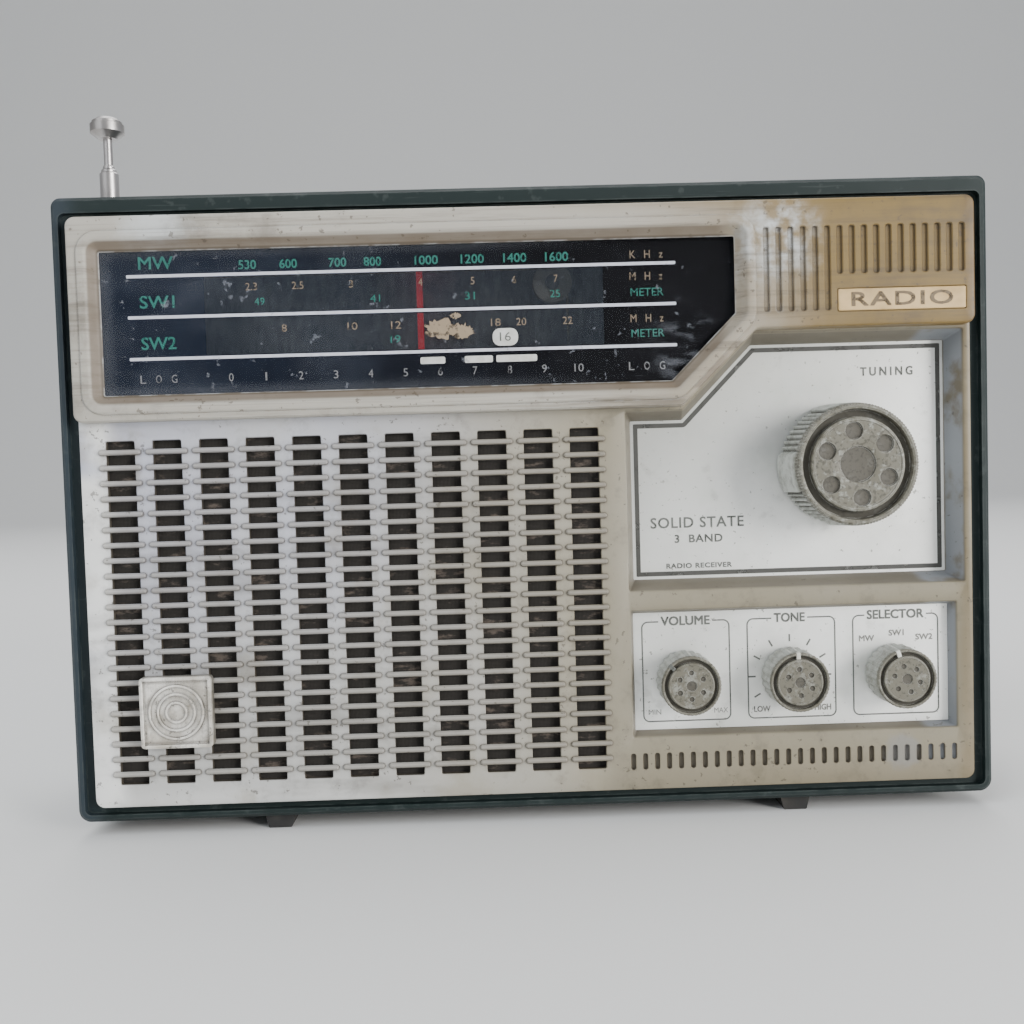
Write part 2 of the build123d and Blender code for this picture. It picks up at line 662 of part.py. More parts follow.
def transistors():
    """Seven small transistors with a flat on one side."""
    body = rod_y(2.4, 2, 7, 0, 0) - block(-3, 3, 0, 8, -3, -1.4)
    for dx in (-1.27, 0, 1.27):
        body += block(dx - 0.2, dx + 0.2, 0, 2.2, -0.2, 0.2)
    places = [(30, 25), (50, 22), (70, 25), (90, 22), (110, 25), (60, -30), (80, -34)]
    return on_board(places, body)


def electrolytic_capacitors():
    """Six upright can capacitors."""
    can = turned_y([(0, 0), (4, 0), (4, 1), (3.7, 1.5), (4, 2), (4, 12), (0, 12)])
    return on_board([(25, -10), (45, -12), (65, -10), (90, -12), (115, -10), (30, -45)], can)


def audio_transformers():
    """Driver and output transformers: iron core with a wound bobbin."""
    core = block(-9, 9, 0, 14, -7.5, 7.5) - block(-6, -3, -1, 15, -5, 5) - block(3, 6, -1, 15, -5, 5)
    core += block(-5.9, 5.9, 1.5, 12.5, -10, 10)
    return on_board([(60, -62), (100, -62)], core)


def gang_capacitor():
    """The tuning capacitor: a square block behind the chassis, with a blind shaft bore."""
    x, z = DRUM_AXIS
    body = block(x - 13, x + 13, CHASSIS_Y + CHASSIS_T, PCB_Y - 5, z - 13, z + 13)
    body = fillet(body.edges().filter_by(Axis.Y), 1.5)
    for dx in (-8, 0, 8):
        body += block(x + dx - 0.8, x + dx + 0.8, PCB_Y - 6, PCB_Y, z - 10, z - 9.2)
    return body - rod_y(SHAFT_R + RUNNING, CHASSIS_Y, PCB_Y - 7.5, x, z)


def ferrite_rod():
    """The ferrite rod of the medium-wave aerial."""
    return rod_x(4.8, 10, 134, 56.0, 84.0)


def antenna_coils():
    """Two coils wound on paper sleeves round the ferrite rod."""
    coils = []
    for x0, x1 in ((22, 52), (104, 122)):
        coils.append(rod_x(6.4, x0, x1, 56.0, 84.0) - rod_x(4.85, x0 - 1, x1 + 1, 56.0, 84.0))
    return Compound(coils)


def ferrite_clips():
    """Two moulded clips that stand on the board and hold the ferrite rod."""
    clips = []
    for x in (64, 92):
        clip = block(x - 3, x + 3, PCB_Y + PCB_T, 64, 64, 70) + block(x - 3, x + 3, 49, 63, 70, 91)
        clips.append(clip - rod_x(4.85, x - 5, x + 5, 56.0, 84.0))
    return Compound(clips)


# ---------------------------------------------------------------- loudspeaker
def speaker_holes():
    """The four loudspeaker fixing positions."""
    x, z = SPEAKER_AXIS
    for sx in (-1, 1):
        for sz in (-1, 1):
            yield x + sx * SPEAKER_HOLE, z + sz * SPEAKER_HOLE


def speaker_basket():
    """The pressed steel basket, with a flange, four ears and six windows."""
    x, z = SPEAKER_AXIS
    y = 4.0
    basket = turned_y([(45, y), (SPEAKER_R, y), (SPEAKER_R, y + 1.5), (47, y + 1.5), (27, y + 26),
                       (16, y + 26), (16, y + 24.6), (26, y + 24.6), (45, y + 1.5)], x, z)
    for hx, hz in speaker_holes():
        basket += rod_y(6.0, y, y + 1.5, hx, hz) - rod_y(46, y - 1, y + 3, x, z)
        basket -= rod_y(1.6, y - 1, y + 3, hx, hz)
    windows = []
    for k in range(6):
        windows.append(Pos(x, 0, z) * Rot(0, 60.0 * k, 0) * block(24, 44, y + 6, y + 22, -9, 9))
    return basket - windows


def speaker_cone():
    """The paper cone with its surround and dust cap."""
    x, z = SPEAKER_AXIS
    return turned_y([(0, 21.5), (8, 23.0), (13, 27.0), (42, 6.2), (43.6, 6.2), (43.6, 5.6), (41.5, 5.4),
                     (13, 26.0), (8.5, 22.2), (0, 20.6)], x, z)


def speaker_magnet():
    """The ring magnet between two steel plates."""
    x, z = SPEAKER_AXIS
    y = 30.0
    return turned_y([(0, y), (20, y), (20, y + 2), (22.5, y + 2), (22.5, y + 8), (20, y + 8),
                     (20, y + 9.5), (0, y + 9.5)], x, z)


def speaker_screws():
    """Four self-tapping screws through the loudspeaker's ears."""
    screws = []
    for x, z in speaker_holes():
        screw = rod_y(1.4, 1.3, 5.5, x, z) + rod_y(2.8, 5.5, 7.3, x, z)
        screws.append(screw - block(x - 2, x + 2, 6.8, 8, z - 0.35, z + 0.35))
    return Compound(screws)


# ---------------------------------------------------------------- battery bay
def battery_tray():
    """The battery box, open at the back, with a shelf between its two rows."""
    y1 = CASE_D - COVER_T
    tray = block(*BAY_X, BAY_Y, y1, *BAY_Z)
    tray -= block(BAY_X[0] + BAY_WALL, BAY_X[1] - BAY_WALL, BAY_Y + BAY_WALL, y1 + 1,
                  BAY_Z[0] + BAY_WALL, BAY_Z[1] - BAY_WALL)
    shelf = sum(BAY_Z) / 2
    return tray + block(BAY_X[0] + 0.5, BAY_X[1] - 0.5, BAY_Y + 0.5, y1 - 8, shelf - 0.75, shelf + 0.75)


def bay_rows():
    """The two heights at which a row of cells lies."""
    quarter = (BAY_Z[1] - BAY_Z[0]) / 4
    return BAY_Z[0] + quarter, BAY_Z[1] - quarter


def battery_terminals():
    """Four contact plates; the two at the left carry a conical spring, drawn as stepped rings."""
    y = BAY_Y + 16
    left = BAY_X[0] + BAY_WALL
    right = BAY_X[1] - BAY_WALL - 0.6
    terminals = []
    for z in bay_rows():
        plate = block(left, left + 0.6, y - 8, y + 8, z - 8, z + 8)
        for step, r in enumerate((6.0, 5.2, 4.4)):
            x = left + 0.5 + 1.4 * step
            plate += rod_x(r, x, x + 1.5, y, z) - rod_x(r - 1.4, x - 1, x + 3, y, z)
        terminals.append(plate)
        terminals.append(block(right, right + 0.6, y - 8, y + 8, z - 8, z + 8))
    return Compound(terminals)


def battery_door():
    """The battery door, on a rounded lower edge with two pivot stubs, with a row of finger grips."""
    y0 = CASE_D - COVER_T
    z0 = door_axis_z()
    x0, x1 = DOOR_X[0] + DOOR_GAP, DOOR_X[1] - DOOR_GAP
    door = block(x0, x1, y0, CASE_D, z0, DOOR_Z[1] - DOOR_GAP)
    door += rod_x(DOOR_KNUCKLE_R, x0, x1, CASE_D - COVER_T / 2, z0)
    door += rod_x(DOOR_STUB_R, x0 - 2.5, x1 + 2.5, CASE_D - COVER_T / 2, z0)
    grips = []
    for k in range(5):
        z = DOOR_Z[1] - 5.0 - 2.2 * k
        grips.append(block(-74, -50, CASE_D - 0.8, CASE_D + 1, z - 0.6, z + 0.6))
    arrow = slab(Pos(-62.0, DOOR_Z[1] - 21.0) * RegularPolygon(3.4, 3, rotation=90), CASE_D - 0.5, CASE_D + 1)
    return door - grips - arrow


# ---------------------------------------------------------------- aerial
def antenna_tube(k):
    """One tube of the telescopic aerial, with a rounded-in mouth."""
    outer, inner = AERIAL_TUBES[k]
    low, top = AERIAL_BOTTOMS[k], AERIAL_TOPS[k]
    return turned_z([(inner, low), (outer, low), (outer, top - 0.5), (inner + 0.15, top), (inner, top)],
                    *AERIAL_AXIS)


def antenna_rod():
    """The innermost aerial rod, turned in one piece with its ringed button."""
    r, low, top = AERIAL_BUTTON
    foot = AERIAL_BOTTOMS[3] + 3
    return turned_z([(0, foot), (AERIAL_ROD_R, foot), (AERIAL_ROD_R, low), (3.2, low), (r, low + 2.0),
                     (r, top - 2.2), (r - 0.6, top - 1.9), (r - 0.6, top - 1.2), (r - 2.2, top), (0, top)],
                    *AERIAL_AXIS)


def antenna_bushing():
    """The collar that guides the aerial through the top of the case."""
    bore = AERIAL_TUBES[0][0] + 0.02
    top = CASE_H / 2
    return turned_z([(bore, top - 4), (4.95, top - 4), (4.95, top), (7.0, top), (7.0, top + 0.8),
                     (6.2, top + 1.6), (bore, top + 1.6)], *AERIAL_AXIS)


# ---------------------------------------------------------------- handle and jack
def carry_handle():
    """The folding handle: two arms and a rounded grip, lying back on the case."""
    y0, z0 = HANDLE_PIVOT
    half = HANDLE_T / 2
    y1 = y0 + HANDLE_REACH
    bow = []
    for side in (-1, 1):
        xa = side * HANDLE_X - HANDLE_ARM_W / 2
        xb = side * HANDLE_X + HANDLE_ARM_W / 2
        arm = block(xa, xb, y0, y1, z0 - half, z0 + half) + rod_x(half, xa, xb, y0, z0)
        bow.append(arm)
    edge = HANDLE_X + HANDLE_ARM_W / 2
    grip = block(-edge, edge, y1 - 3, y1 + 6.5, z0 - half, z0 + half)
    grip = fillet(grip.edges().filter_by(Axis.X) + grip.edges().filter_by(Axis.Z), 2.0)
    handle = grip + bow[0] + bow[1]
    return handle - rod_x(2.0 + RUNNING, -edge - 1, edge + 1, y0, z0)


def handle_pivots():
    """Two blocks on the case's top, each with a pin that carries one arm of the handle."""
    y0, z0 = HANDLE_PIVOT
    top = CASE_H / 2
    inner = HANDLE_X - HANDLE_ARM_W / 2 - 0.4
    mounts = []
    for side in (-1, 1):
        x0, x1 = sorted((side * inner, side * (inner - 6)))
        post = block(x0, x1, y0 - 5, y0 + 5, top, z0) + rod_x(5.0, x0, x1, y0, z0 - 0.6)
        post -= block(x0 - 1, x1 + 1, y0 - 9, y0 + 9, top - 9, top)
        p0, p1 = sorted((side * (inner - 1), side * (HANDLE_X + HANDLE_ARM_W / 2 + 1)))
        mounts.append(post + rod_x(2.0, p0, p1, y0, z0))
    return Compound(mounts)


def earphone_jack():
    """The earphone jack in the right side, with a collar outside and a blind bore."""
    wall = CASE_W / 2
    jack = rod_x(3.9, wall - 16, wall - 0.3, JACK_Y, JACK_Z)
    jack += block(wall - 18, wall - 6, JACK_Y - 5, JACK_Y + 5, JACK_Z - 5, JACK_Z + 5)
    return jack - rod_x(JACK_R, wall - 15, wall + 1, JACK_Y, JACK_Z)


# ---------------------------------------------------------------- write every node
def main():
    """Build and write every node."""
    save("cabinet_shell", cabinet_shell())
    save("feet", feet())
    save("rear_cover", rear_cover())
    save("case_screws", case_screws())
    save("front_panel", front_panel())
    save("dial_bezel", dial_bezel())
    save("dial_window", dial_window())
    save("nameplate_badge", nameplate_badge())
    save("grille_emblem", grille_emblem())
    save("tuning_plate", tuning_plate())
    save("control_plate", control_plate())
    save("grille_cloth", grille_cloth())
    save("tuning_knob", tuning_knob())
    save("tuning_spindle", tuning_spindle())
    save("tuning_bushing", tuning_bushing())
    controls = {"volume": (8.5, 22.0, 5), "tone": (8.5, 17.0, 3), "selector": (13.0, 28.0, 6)}
    for x, (name, (r, y_end, lugs)) in zip(CONTROL_AXES_X, controls.items()):
        save(f"{name}_knob", control_knob(x))
        save(f"{name}_shaft", control_shaft(x, y_end))
        save(f"{name}_control", control_body(x, r, y_end, lugs))
    save("pot_nuts", pot_nuts())
    save("dial_chassis", dial_chassis())
    save("dial_drum", dial_drum())
    save("cord_spring", cord_spring())
    save("pulley_left", pulley(PULLEY_LEFT))
    save("pulley_right", pulley(PULLEY_RIGHT))
    save("pulley_lower", pulley(PULLEY_LOWER))
    save("pulley_axles", pulley_axles())
    save("dial_cord", dial_cord())
    save("pointer_rail", pointer_rail())
    save("dial_pointer", dial_pointer())
    save("main_pcb", main_pcb())
    save("if_transformers", if_transformers())
    save("transistors", transistors())
    save("electrolytic_capacitors", electrolytic_capacitors())
    save("audio_transformers", audio_transformers())
    save("gang_capacitor", gang_capacitor())
    save("ferrite_rod", ferrite_rod())
    save("antenna_coils", antenna_coils())
    save("ferrite_clips", ferrite_clips())
    save("speaker_basket", speaker_basket())
    save("speaker_cone", speaker_cone())
    save("speaker_magnet", speaker_magnet())
    save("speaker_screws", speaker_screws())
    save("battery_tray", battery_tray())
    save("battery_terminals", battery_terminals())
    save("battery_door", battery_door())
    save("antenna_outer_tube", antenna_tube(0))
    for k in (1, 2, 3):
        save(f"antenna_section_{k}", antenna_tube(k))
    save("antenna_rod", antenna_rod())
    save("antenna_bushing", antenna_bushing())
    save("carry_handle", carry_handle())
    save("handle_pivots", handle_pivots())
    save("earphone_jack", earphone_jack())


main()
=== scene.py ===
"""A portable three-band radio receiver, dressed round its fixed frame.

The frame gives every place. Sizes are in millimetres in face coordinates: x to the right, d into the
case from the front rim (negative is in front of it) and h up from the case's middle.
"""

import logging
import math
import random
from dataclasses import dataclass
from enum import Enum
from typing import Iterable, Iterator, Sequence

import bmesh
import bpy
from mathutils import Matrix, Vector


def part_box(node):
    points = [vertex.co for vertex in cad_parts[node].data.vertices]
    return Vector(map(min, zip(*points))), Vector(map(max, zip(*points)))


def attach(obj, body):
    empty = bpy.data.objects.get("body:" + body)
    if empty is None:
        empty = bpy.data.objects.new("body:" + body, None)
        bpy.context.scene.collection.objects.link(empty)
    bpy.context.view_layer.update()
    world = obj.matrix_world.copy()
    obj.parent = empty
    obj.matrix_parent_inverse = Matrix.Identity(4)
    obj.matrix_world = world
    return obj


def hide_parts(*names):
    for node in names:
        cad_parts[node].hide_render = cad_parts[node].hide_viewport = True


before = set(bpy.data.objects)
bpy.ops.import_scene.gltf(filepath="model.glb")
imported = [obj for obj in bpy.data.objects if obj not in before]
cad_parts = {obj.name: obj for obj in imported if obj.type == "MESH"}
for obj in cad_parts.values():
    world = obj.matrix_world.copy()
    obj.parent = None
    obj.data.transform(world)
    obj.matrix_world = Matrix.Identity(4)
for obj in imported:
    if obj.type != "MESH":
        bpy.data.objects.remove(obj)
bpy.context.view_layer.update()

LOG = logging.getLogger("receiver")
MM = 0.001
INK_T = 0.06  # thickness of printed ink
BOLD_STEP = 0.012  # depth between the copies of a bold letter
WELD = 1e-5
LATHE_WELD = 1e-4
BIG_RADIUS, BIG_FACE = 20.0, -12.0
SMALL_RADIUS, SMALL_FACE = 10.0, -7.5
TUNING_X, TUNING_H = 103.6, 10.0
VOLUME_X, TONE_X, SELECTOR_X = 50.0, 85.2, 120.0
CONTROL_H = -59.9
TUNING_PLATE_D, CONTROL_PLATE_D = 9.4, 4.7
SENSOR = 36.0
Point = tuple[float, float]
Colour = tuple[float, float, float]

PANEL_LOW, PANEL_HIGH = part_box("front_panel")
RIM_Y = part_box("cabinet_shell")[0].y
MID_H = (PANEL_LOW.z + PANEL_HIGH.z) / 2
TO_ROW = Matrix.Translation((0.0, RIM_Y, MID_H)) @ Matrix.Scale(MM, 4)


class Body(Enum):
    """The bodies that new pieces ride on."""

    CABINET = "cabinet"
    TUNING = "tuning"
    VOLUME = "volume"
    TONE = "tone"
    SELECTOR = "selector"


class Slot(Enum):
    """The names of the material slots."""

    CASE = "case_plastic"
    PANEL = "panel_plastic"
    BEZEL = "bezel_plastic"
    WINDOW = "window_acrylic"
    PLATE = "plate_aluminium"
    KNOB = "knob_plastic"
    EMBLEM = "emblem_metal"
    BADGE = "badge_plastic"


# ------------------------------------------------------------------------------ shader tools
class Value:
    """A shader number that can be used in Python arithmetic."""

    def __init__(self, paint: "Paint", socket: bpy.types.NodeSocket) -> None:
        """Wrap a socket of one paint's node tree."""
        self.paint = paint
        self.socket = socket

    def _math(self, operation: str, *others: "Value | float") -> "Value":
        """Add a Math node with this value first."""
        return self.paint.math(operation, self, *others)

    def __add__(self, other: "Value | float") -> "Value":
        """self + other."""
        return self._math("ADD", other)

    __radd__ = __add__

    def __mul__(self, other: "Value | float") -> "Value":
        """self * other."""
        return self._math("MULTIPLY", other)

    __rmul__ = __mul__

    def __sub__(self, other: "Value | float") -> "Value":
        """self - other."""
        return self._math("SUBTRACT", other)

    def __rsub__(self, other: "Value | float") -> "Value":
        """other - self."""
        return self.paint.math("SUBTRACT", other, self)

    def __truediv__(self, other: "Value | float") -> "Value":
        """self / other."""
        return self._math("DIVIDE", other)

    def __pow__(self, other: "Value | float") -> "Value":
        """self ** other."""
        return self._math("POWER", other)

    def __abs__(self) -> "Value":
        """The size of the value."""
        return self._math("ABSOLUTE")

    def most(self, other: "Value | float") -> "Value":
        """The larger of two values."""
        return self._math("MAXIMUM", other)

    def least(self, other: "Value | float") -> "Value":
        """The smaller of two values."""
        return self._math("MINIMUM", other)

    def rise(self, low: float, high: float) -> "Value":
        """A smooth step from 0 at low to 1 at high.

        Args:
            low: Where the step starts.
            high: Where it ends.

        Returns:
            The step.
        """
        sockets = {"Value": self, "From Min": low, "From Max": high}
        out = self.paint.node("ShaderNodeMapRange", {"interpolation_type": "SMOOTHSTEP"}, sockets)
        return Value(self.paint, out[0])

    def fall(self, low: float, high: float) -> "Value":
        """A smooth step from 1 at low to 0 at high."""
        return 1.0 - self.rise(low, high)

    def band(self, low: float, high: float, soft: float) -> "Value":
        """1 between low and high, fading out over a soft edge."""
        return self.rise(low - soft, low + soft) * self.fall(high - soft, high + soft)


class Paint:
    """One material and the node tree behind it."""

    def __init__(self, name: str) -> None:
        """Start an empty material with a Principled shader.

        Args:
            name: The material's name.
        """
        self.material = bpy.data.materials.new(name)
        self.material.use_nodes = True
        self.tree = self.material.node_tree
        self.tree.nodes.clear()
        output = self.tree.nodes.new("ShaderNodeOutputMaterial")
        self.shader = self.tree.nodes.new("ShaderNodeBsdfPrincipled")
        self.tree.links.new(self.shader.outputs[0], output.inputs["Surface"])
        self.place = self.node("ShaderNodeTexCoord", {}, {})["Object"]
        parts = self.node("ShaderNodeSeparateXYZ", {}, {"Vector": self.place})
        self.x = Value(self, parts[0]) / MM
        self.d = (Value(self, parts[1]) - RIM_Y) / MM
        self.h = (Value(self, parts[2]) - MID_H) / MM

    def node(self, kind: str, settings: dict, sockets: dict) -> bpy.types.bpy_prop_collection:
        """Add a node.

        Args:
            kind: The node's type name.
            settings: Properties set first, such as a Math node's operation.
            sockets: Values or links of its inputs, by name or number.

        Returns:
            The node's outputs.
        """
        node = self.tree.nodes.new(kind)
        for key, value in settings.items():
            setattr(node, key, value)
        for key, value in sockets.items():
            self.feed(node.inputs[key], value)
        return node.outputs

    def feed(self, socket: bpy.types.NodeSocket, value: object) -> None:
        """Link a value or a socket to an input, or set its number or colour.

        Args:
            socket: The input.
            value: A value, a socket, a number, a colour or a vector.
        """
        if isinstance(value, Value):
            self.tree.links.new(value.socket, socket)
        elif isinstance(value, bpy.types.NodeSocket):
            self.tree.links.new(value, socket)
        elif isinstance(value, tuple) and socket.type == "RGBA" and len(value) == 3:
            socket.default_value = (*value, 1.0)
        else:
            socket.default_value = value

    def math(self, operation: str, *values: "Value | float") -> Value:
        """Add a Math node over one, two or three values."""
        out = self.node("ShaderNodeMath", {"operation": operation}, dict(enumerate(values)))
        return Value(self, out[0])

    def noise(self, scale: float, detail: float = 3.0, stretch: Sequence[float] = (1, 1, 1),
              roughness: float = 0.55, shift: float = 0.0) -> Value:
        """Noise with a mean of about one half.

        Args:
            scale: Features per metre.
            detail: Octaves.
            stretch: How much finer the noise is along each axis.
            roughness: Weight of the finer octaves.
            shift: Moves the noise, so that two of one scale differ.

        Returns:
            The noise's value.
        """
        mapping = self.node("ShaderNodeMapping", {}, {
            "Vector": self.place, "Scale": tuple(stretch), "Location": (shift, 0.37 * shift, shift)})
        out = self.node("ShaderNodeTexNoise", {}, {
            "Vector": mapping[0], "Scale": scale, "Detail": detail, "Roughness": roughness})
        return Value(self, out[0])

    def cells(self, scale: float) -> Value:
        """Distance to the nearest of many random points, scale of them to the metre."""
        out = self.node("ShaderNodeTexVoronoi", {}, {"Vector": self.place, "Scale": scale})
        return Value(self, out["Distance"])

    def upward(self) -> Value:
        """How far the surface faces up, from -1 to 1."""
        normal = self.node("ShaderNodeNewGeometry", {}, {})["Normal"]
        return Value(self, self.node("ShaderNodeSeparateXYZ", {}, {"Vector": normal})[2])

    def flecks(self, scale: float, level: float, shift: float = 3.1) -> Value:
        """Small irregular flecks where fine noise passes a level, thicker in some places."""
        crowd = (self.noise(scale * 0.07, 3.0, shift=shift) - 0.5) * 0.16
        return (self.noise(scale, 3.0, roughness=0.6, shift=shift) + crowd).rise(level, level + 0.035)

    def reach(self, x: float, h: float) -> Value:
        """Distance on the front from a place."""
        return ((self.x - x) ** 2.0 + (self.h - h) ** 2.0) ** 0.5

    def spot(self, x: float, h: float, radius: float, soft: float) -> Value:
        """A soft round patch on the front."""
        reach = self.reach(x, h)
        return (reach + (self.noise(260, 3.0) - 0.5) * radius).fall(radius - soft, radius + soft)

    def crevice(self, reach: float) -> Value:
        """How enclosed a point is, out to a reach in millimetres.

        Args:
            reach: How far around a point counts.

        Returns:
            0 in the open, towards 1 where enclosed.
        """
        out = self.node("ShaderNodeAmbientOcclusion", {"samples": 6, "only_local": True}, {
            "Distance": reach * MM})
        return 1.0 - Value(self, out["AO"])

    def edge(self, width: float) -> Value:
        """Where the surface turns sharply, within a width in millimetres.

        Args:
            width: How wide the worn edge is.

        Returns:
            1 on the edge, 0 on the flat.
        """
        soft = self.node("ShaderNodeBevel", {"samples": 4}, {"Radius": width * MM})[0]
        hard = self.node("ShaderNodeNewGeometry", {}, {})["Normal"]
        facing = self.node("ShaderNodeVectorMath", {"operation": "DOT_PRODUCT"}, {0: soft, 1: hard})
        return Value(self, facing["Value"]).fall(0.86, 0.985)

    def mix(self, share: "Value | float", base: object, top: object) -> bpy.types.NodeSocket:
        """Lay one colour over another."""
        out = self.node("ShaderNodeMix", {"data_type": "RGBA"}, {0: share, 6: base, 7: top})
        return out[2]

    def bump(self, height: Value, distance: float, strength: float) -> bpy.types.NodeSocket:
        """Turn a height into a normal; distance is in millimetres."""
        sockets = {"Height": height, "Distance": distance * MM, "Strength": strength}
        return self.node("ShaderNodeBump", {}, sockets)[0]

    def dress(self, **sockets: object) -> bpy.types.Material:
        """Feed the Principled shader; an underscore in a name stands for a space.

        Returns:
            The material.
        """
        for key, value in sockets.items():
            self.feed(self.shader.inputs[key.replace("_", " ")], value)
        return self.material


# ------------------------------------------------------------------------------ finishes
@dataclass(frozen=True)
class Finish:
    """A finish that can be applied to pieces."""

    name: str

    def material(self) -> bpy.types.Material:
        """The finished material, made once."""
        found = bpy.data.materials.get(self.name)
        return found or self.paint(Paint(self.name))

    def paint(self, p: Paint) -> bpy.types.Material:
        """Build the node tree."""
        raise NotImplementedError


@dataclass(frozen=True)
class CasePlastic(Finish):
    """Slate case plastic with a fine grain, rubbed edges and settled dust."""

    dark: Colour = (0.008, 0.016, 0.017)
    light: Colour = (0.019, 0.029, 0.030)
    rubbed: Colour = (0.060, 0.072, 0.070)
    rim: Colour = (0.005, 0.013, 0.012)
    dust: Colour = (0.16, 0.155, 0.14)
    cold: Colour = (0.030, 0.042, 0.056)

    def paint(self, p: Paint) -> bpy.types.Material:
        """Mottled plastic; dust lies on faces that look up.

        Args:
            p: The material to build.

        Returns:
            The finished material.
        """
        base = p.mix(p.noise(28, 4.0), self.dark, self.light)
        base = p.mix(p.d.fall(1.0, 13.5) * (p.noise(45, 4.0, shift=18) * 0.5 + 0.45), base, self.rim)
        base = p.mix(p.x.fall(-149, -140) * p.d.fall(1.0, 4.0) * 0.6, base, self.cold)
        base = p.mix(p.noise(240, 3.0, shift=4).rise(0.60, 0.72) * 0.35, base, self.rubbed)
        wear = p.edge(0.9) * p.noise(150, 3.0).rise(0.36, 0.6)
        base = p.mix(wear * 0.75, base, self.rubbed)
        patches = p.noise(120, 6.0, roughness=0.65, shift=7).rise(0.36, 0.70)
        settled = p.upward().rise(0.35, 0.95) * patches * p.d.rise(4.0, 16.0)
        base = p.mix(settled * 0.30, base, self.dust)
        scratch = p.noise(90, 2.0, (0.5, 1, 14), shift=2).rise(0.66, 0.72)
        base = p.mix(scratch * 0.25, base, self.rubbed)
        grain = p.cells(820) * p.d.rise(9.0, 15.0) * 0.7 + p.noise(2600, 2.0) * 0.3
        return p.dress(Base_Color=base, Roughness=p.noise(60, 3.0) * 0.25 + 0.42 + settled * 0.2,
                       Specular_IOR_Level=0.32, Normal=p.bump(grain, 0.10, 0.55))


@dataclass(frozen=True)
class PanelPaint(Finish):
    """Silver-grey sprayed plastic: bluish at the left, yellowed and grimy at the right and below."""

    silver: Colour = (0.50, 0.50, 0.49)
    bright: Colour = (0.88, 0.88, 0.86)
    cool: Colour = (0.48, 0.50, 0.61)
    warm: Colour = (0.30, 0.265, 0.185)
    bar: Colour = (0.25, 0.23, 0.20)
    tan: Colour = (0.20, 0.145, 0.068)
    slope: Colour = (0.115, 0.098, 0.072)
    rubbed: Colour = (0.23, 0.245, 0.265)
    grime: Colour = (0.060, 0.048, 0.033)
    scuff: Colour = (0.22, 0.22, 0.22)

    def paint(self, p: Paint) -> bpy.types.Material:
        """Tints that vary over the front, a painted highlight at the left, dirt and painted shade in the
        corners, painted shade on the grille bars, and small chips.

        Args:
            p: The material to build.

        Returns:
            The finished material.
        """
        cool = p.x.fall(-130, 40) * p.h.rise(-85, 10) * p.noise(14, 3.0).rise(0.28, 0.60)
        base = p.mix(cool * 0.8, self.silver, self.cool)
        # painted highlight: lighter along the left edge and towards the lower left
        painted_highlight = p.x.fall(-141, -131) * 1.3 + p.h.fall(-94, -88) * p.x.fall(-80, 20) * 0.4
        base = p.mix(painted_highlight.least(1.0) * p.noise(40, 3.0, shift=2).rise(0.25, 0.55), base, self.bright)
        age = p.x.rise(-90, 60) * 0.7 + p.noise(22, 4.0, shift=5) * 0.5
        base = p.mix(age.rise(0.12, 1.05), base, self.warm)
        right = p.x.rise(138, 143) * 0.85 + p.h.fall(-96, -78) * p.x.rise(10, 110) * 0.45
        base = p.mix(right.least(1.0), base, self.tan)
        blotch = p.noise(45, 5.0, shift=9).rise(0.52, 0.68) * 0.4
        base = p.mix(blotch, base, self.warm)
        base = p.mix(p.x.rise(18, 27) * 0.48, base, tuple(c * 0.62 for c in self.warm))
        smear = p.noise(38, 4.0, (0.5, 1, 2.2), shift=12).rise(0.50, 0.70)
        base = p.mix(smear * p.x.fall(-60, 25) * 0.35, base, self.grime)
        cloudy = p.noise(130, 6.0, roughness=0.7, shift=14).rise(0.50, 0.72)
        base = p.mix(cloudy * 0.28, base, self.grime)
        # painted shade: the grille bars are tinted darker than the strips between the slots, standing in for
        # the shade on the round bars
        bars = p.d.fall(-0.7, -0.25) * p.x.fall(24, 28)
        base = p.mix(bars * 0.62, base, self.bar)
        # dirt and painted shade: darker where the surface is enclosed, in the corners and round the bar ends
        corner = p.crevice(2.2).rise(0.06, 0.46)
        base = p.mix(corner * 0.8, base, self.grime)
        deep = p.d.rise(0.3, 1.6) * p.d.fall(8.4, 9.6)
        base = p.mix(deep * (p.noise(60, 4.0, shift=21) * 0.5 + 0.5), base, self.slope)
        bare_slope = p.x.rise(127, 131) * p.noise(75, 5.0, shift=23).rise(0.30, 0.50)
        base = p.mix(deep * bare_slope, base, self.rubbed)
        # painted shade: faces that look down near the front, such as the undersides of the grille bars, are
        # darkened
        base = p.mix(p.upward().fall(-0.85, -0.05) * p.d.fall(0.2, 0.8) * 0.5, base, self.grime)
        inside = p.d.rise(0.35, 1.1) * p.x.fall(24, 28)
        base = p.mix(inside * 0.85, base, self.grime)
        chips = p.flecks(420, 0.66)
        base = p.mix(chips * 0.6, base, self.grime)
        base = p.mix(p.spot(121, -85.5, 5.5, 1.6) * 0.55, base, self.scuff)
        shine = p.noise(70, 3.0) * 0.25 + 0.34 + corner * 0.25
        texture = p.noise(900, 3.0) * 0.6 + chips * -1.0
        return p.dress(Base_Color=base, Roughness=shine, Normal=p.bump(texture, 0.03, 0.5))


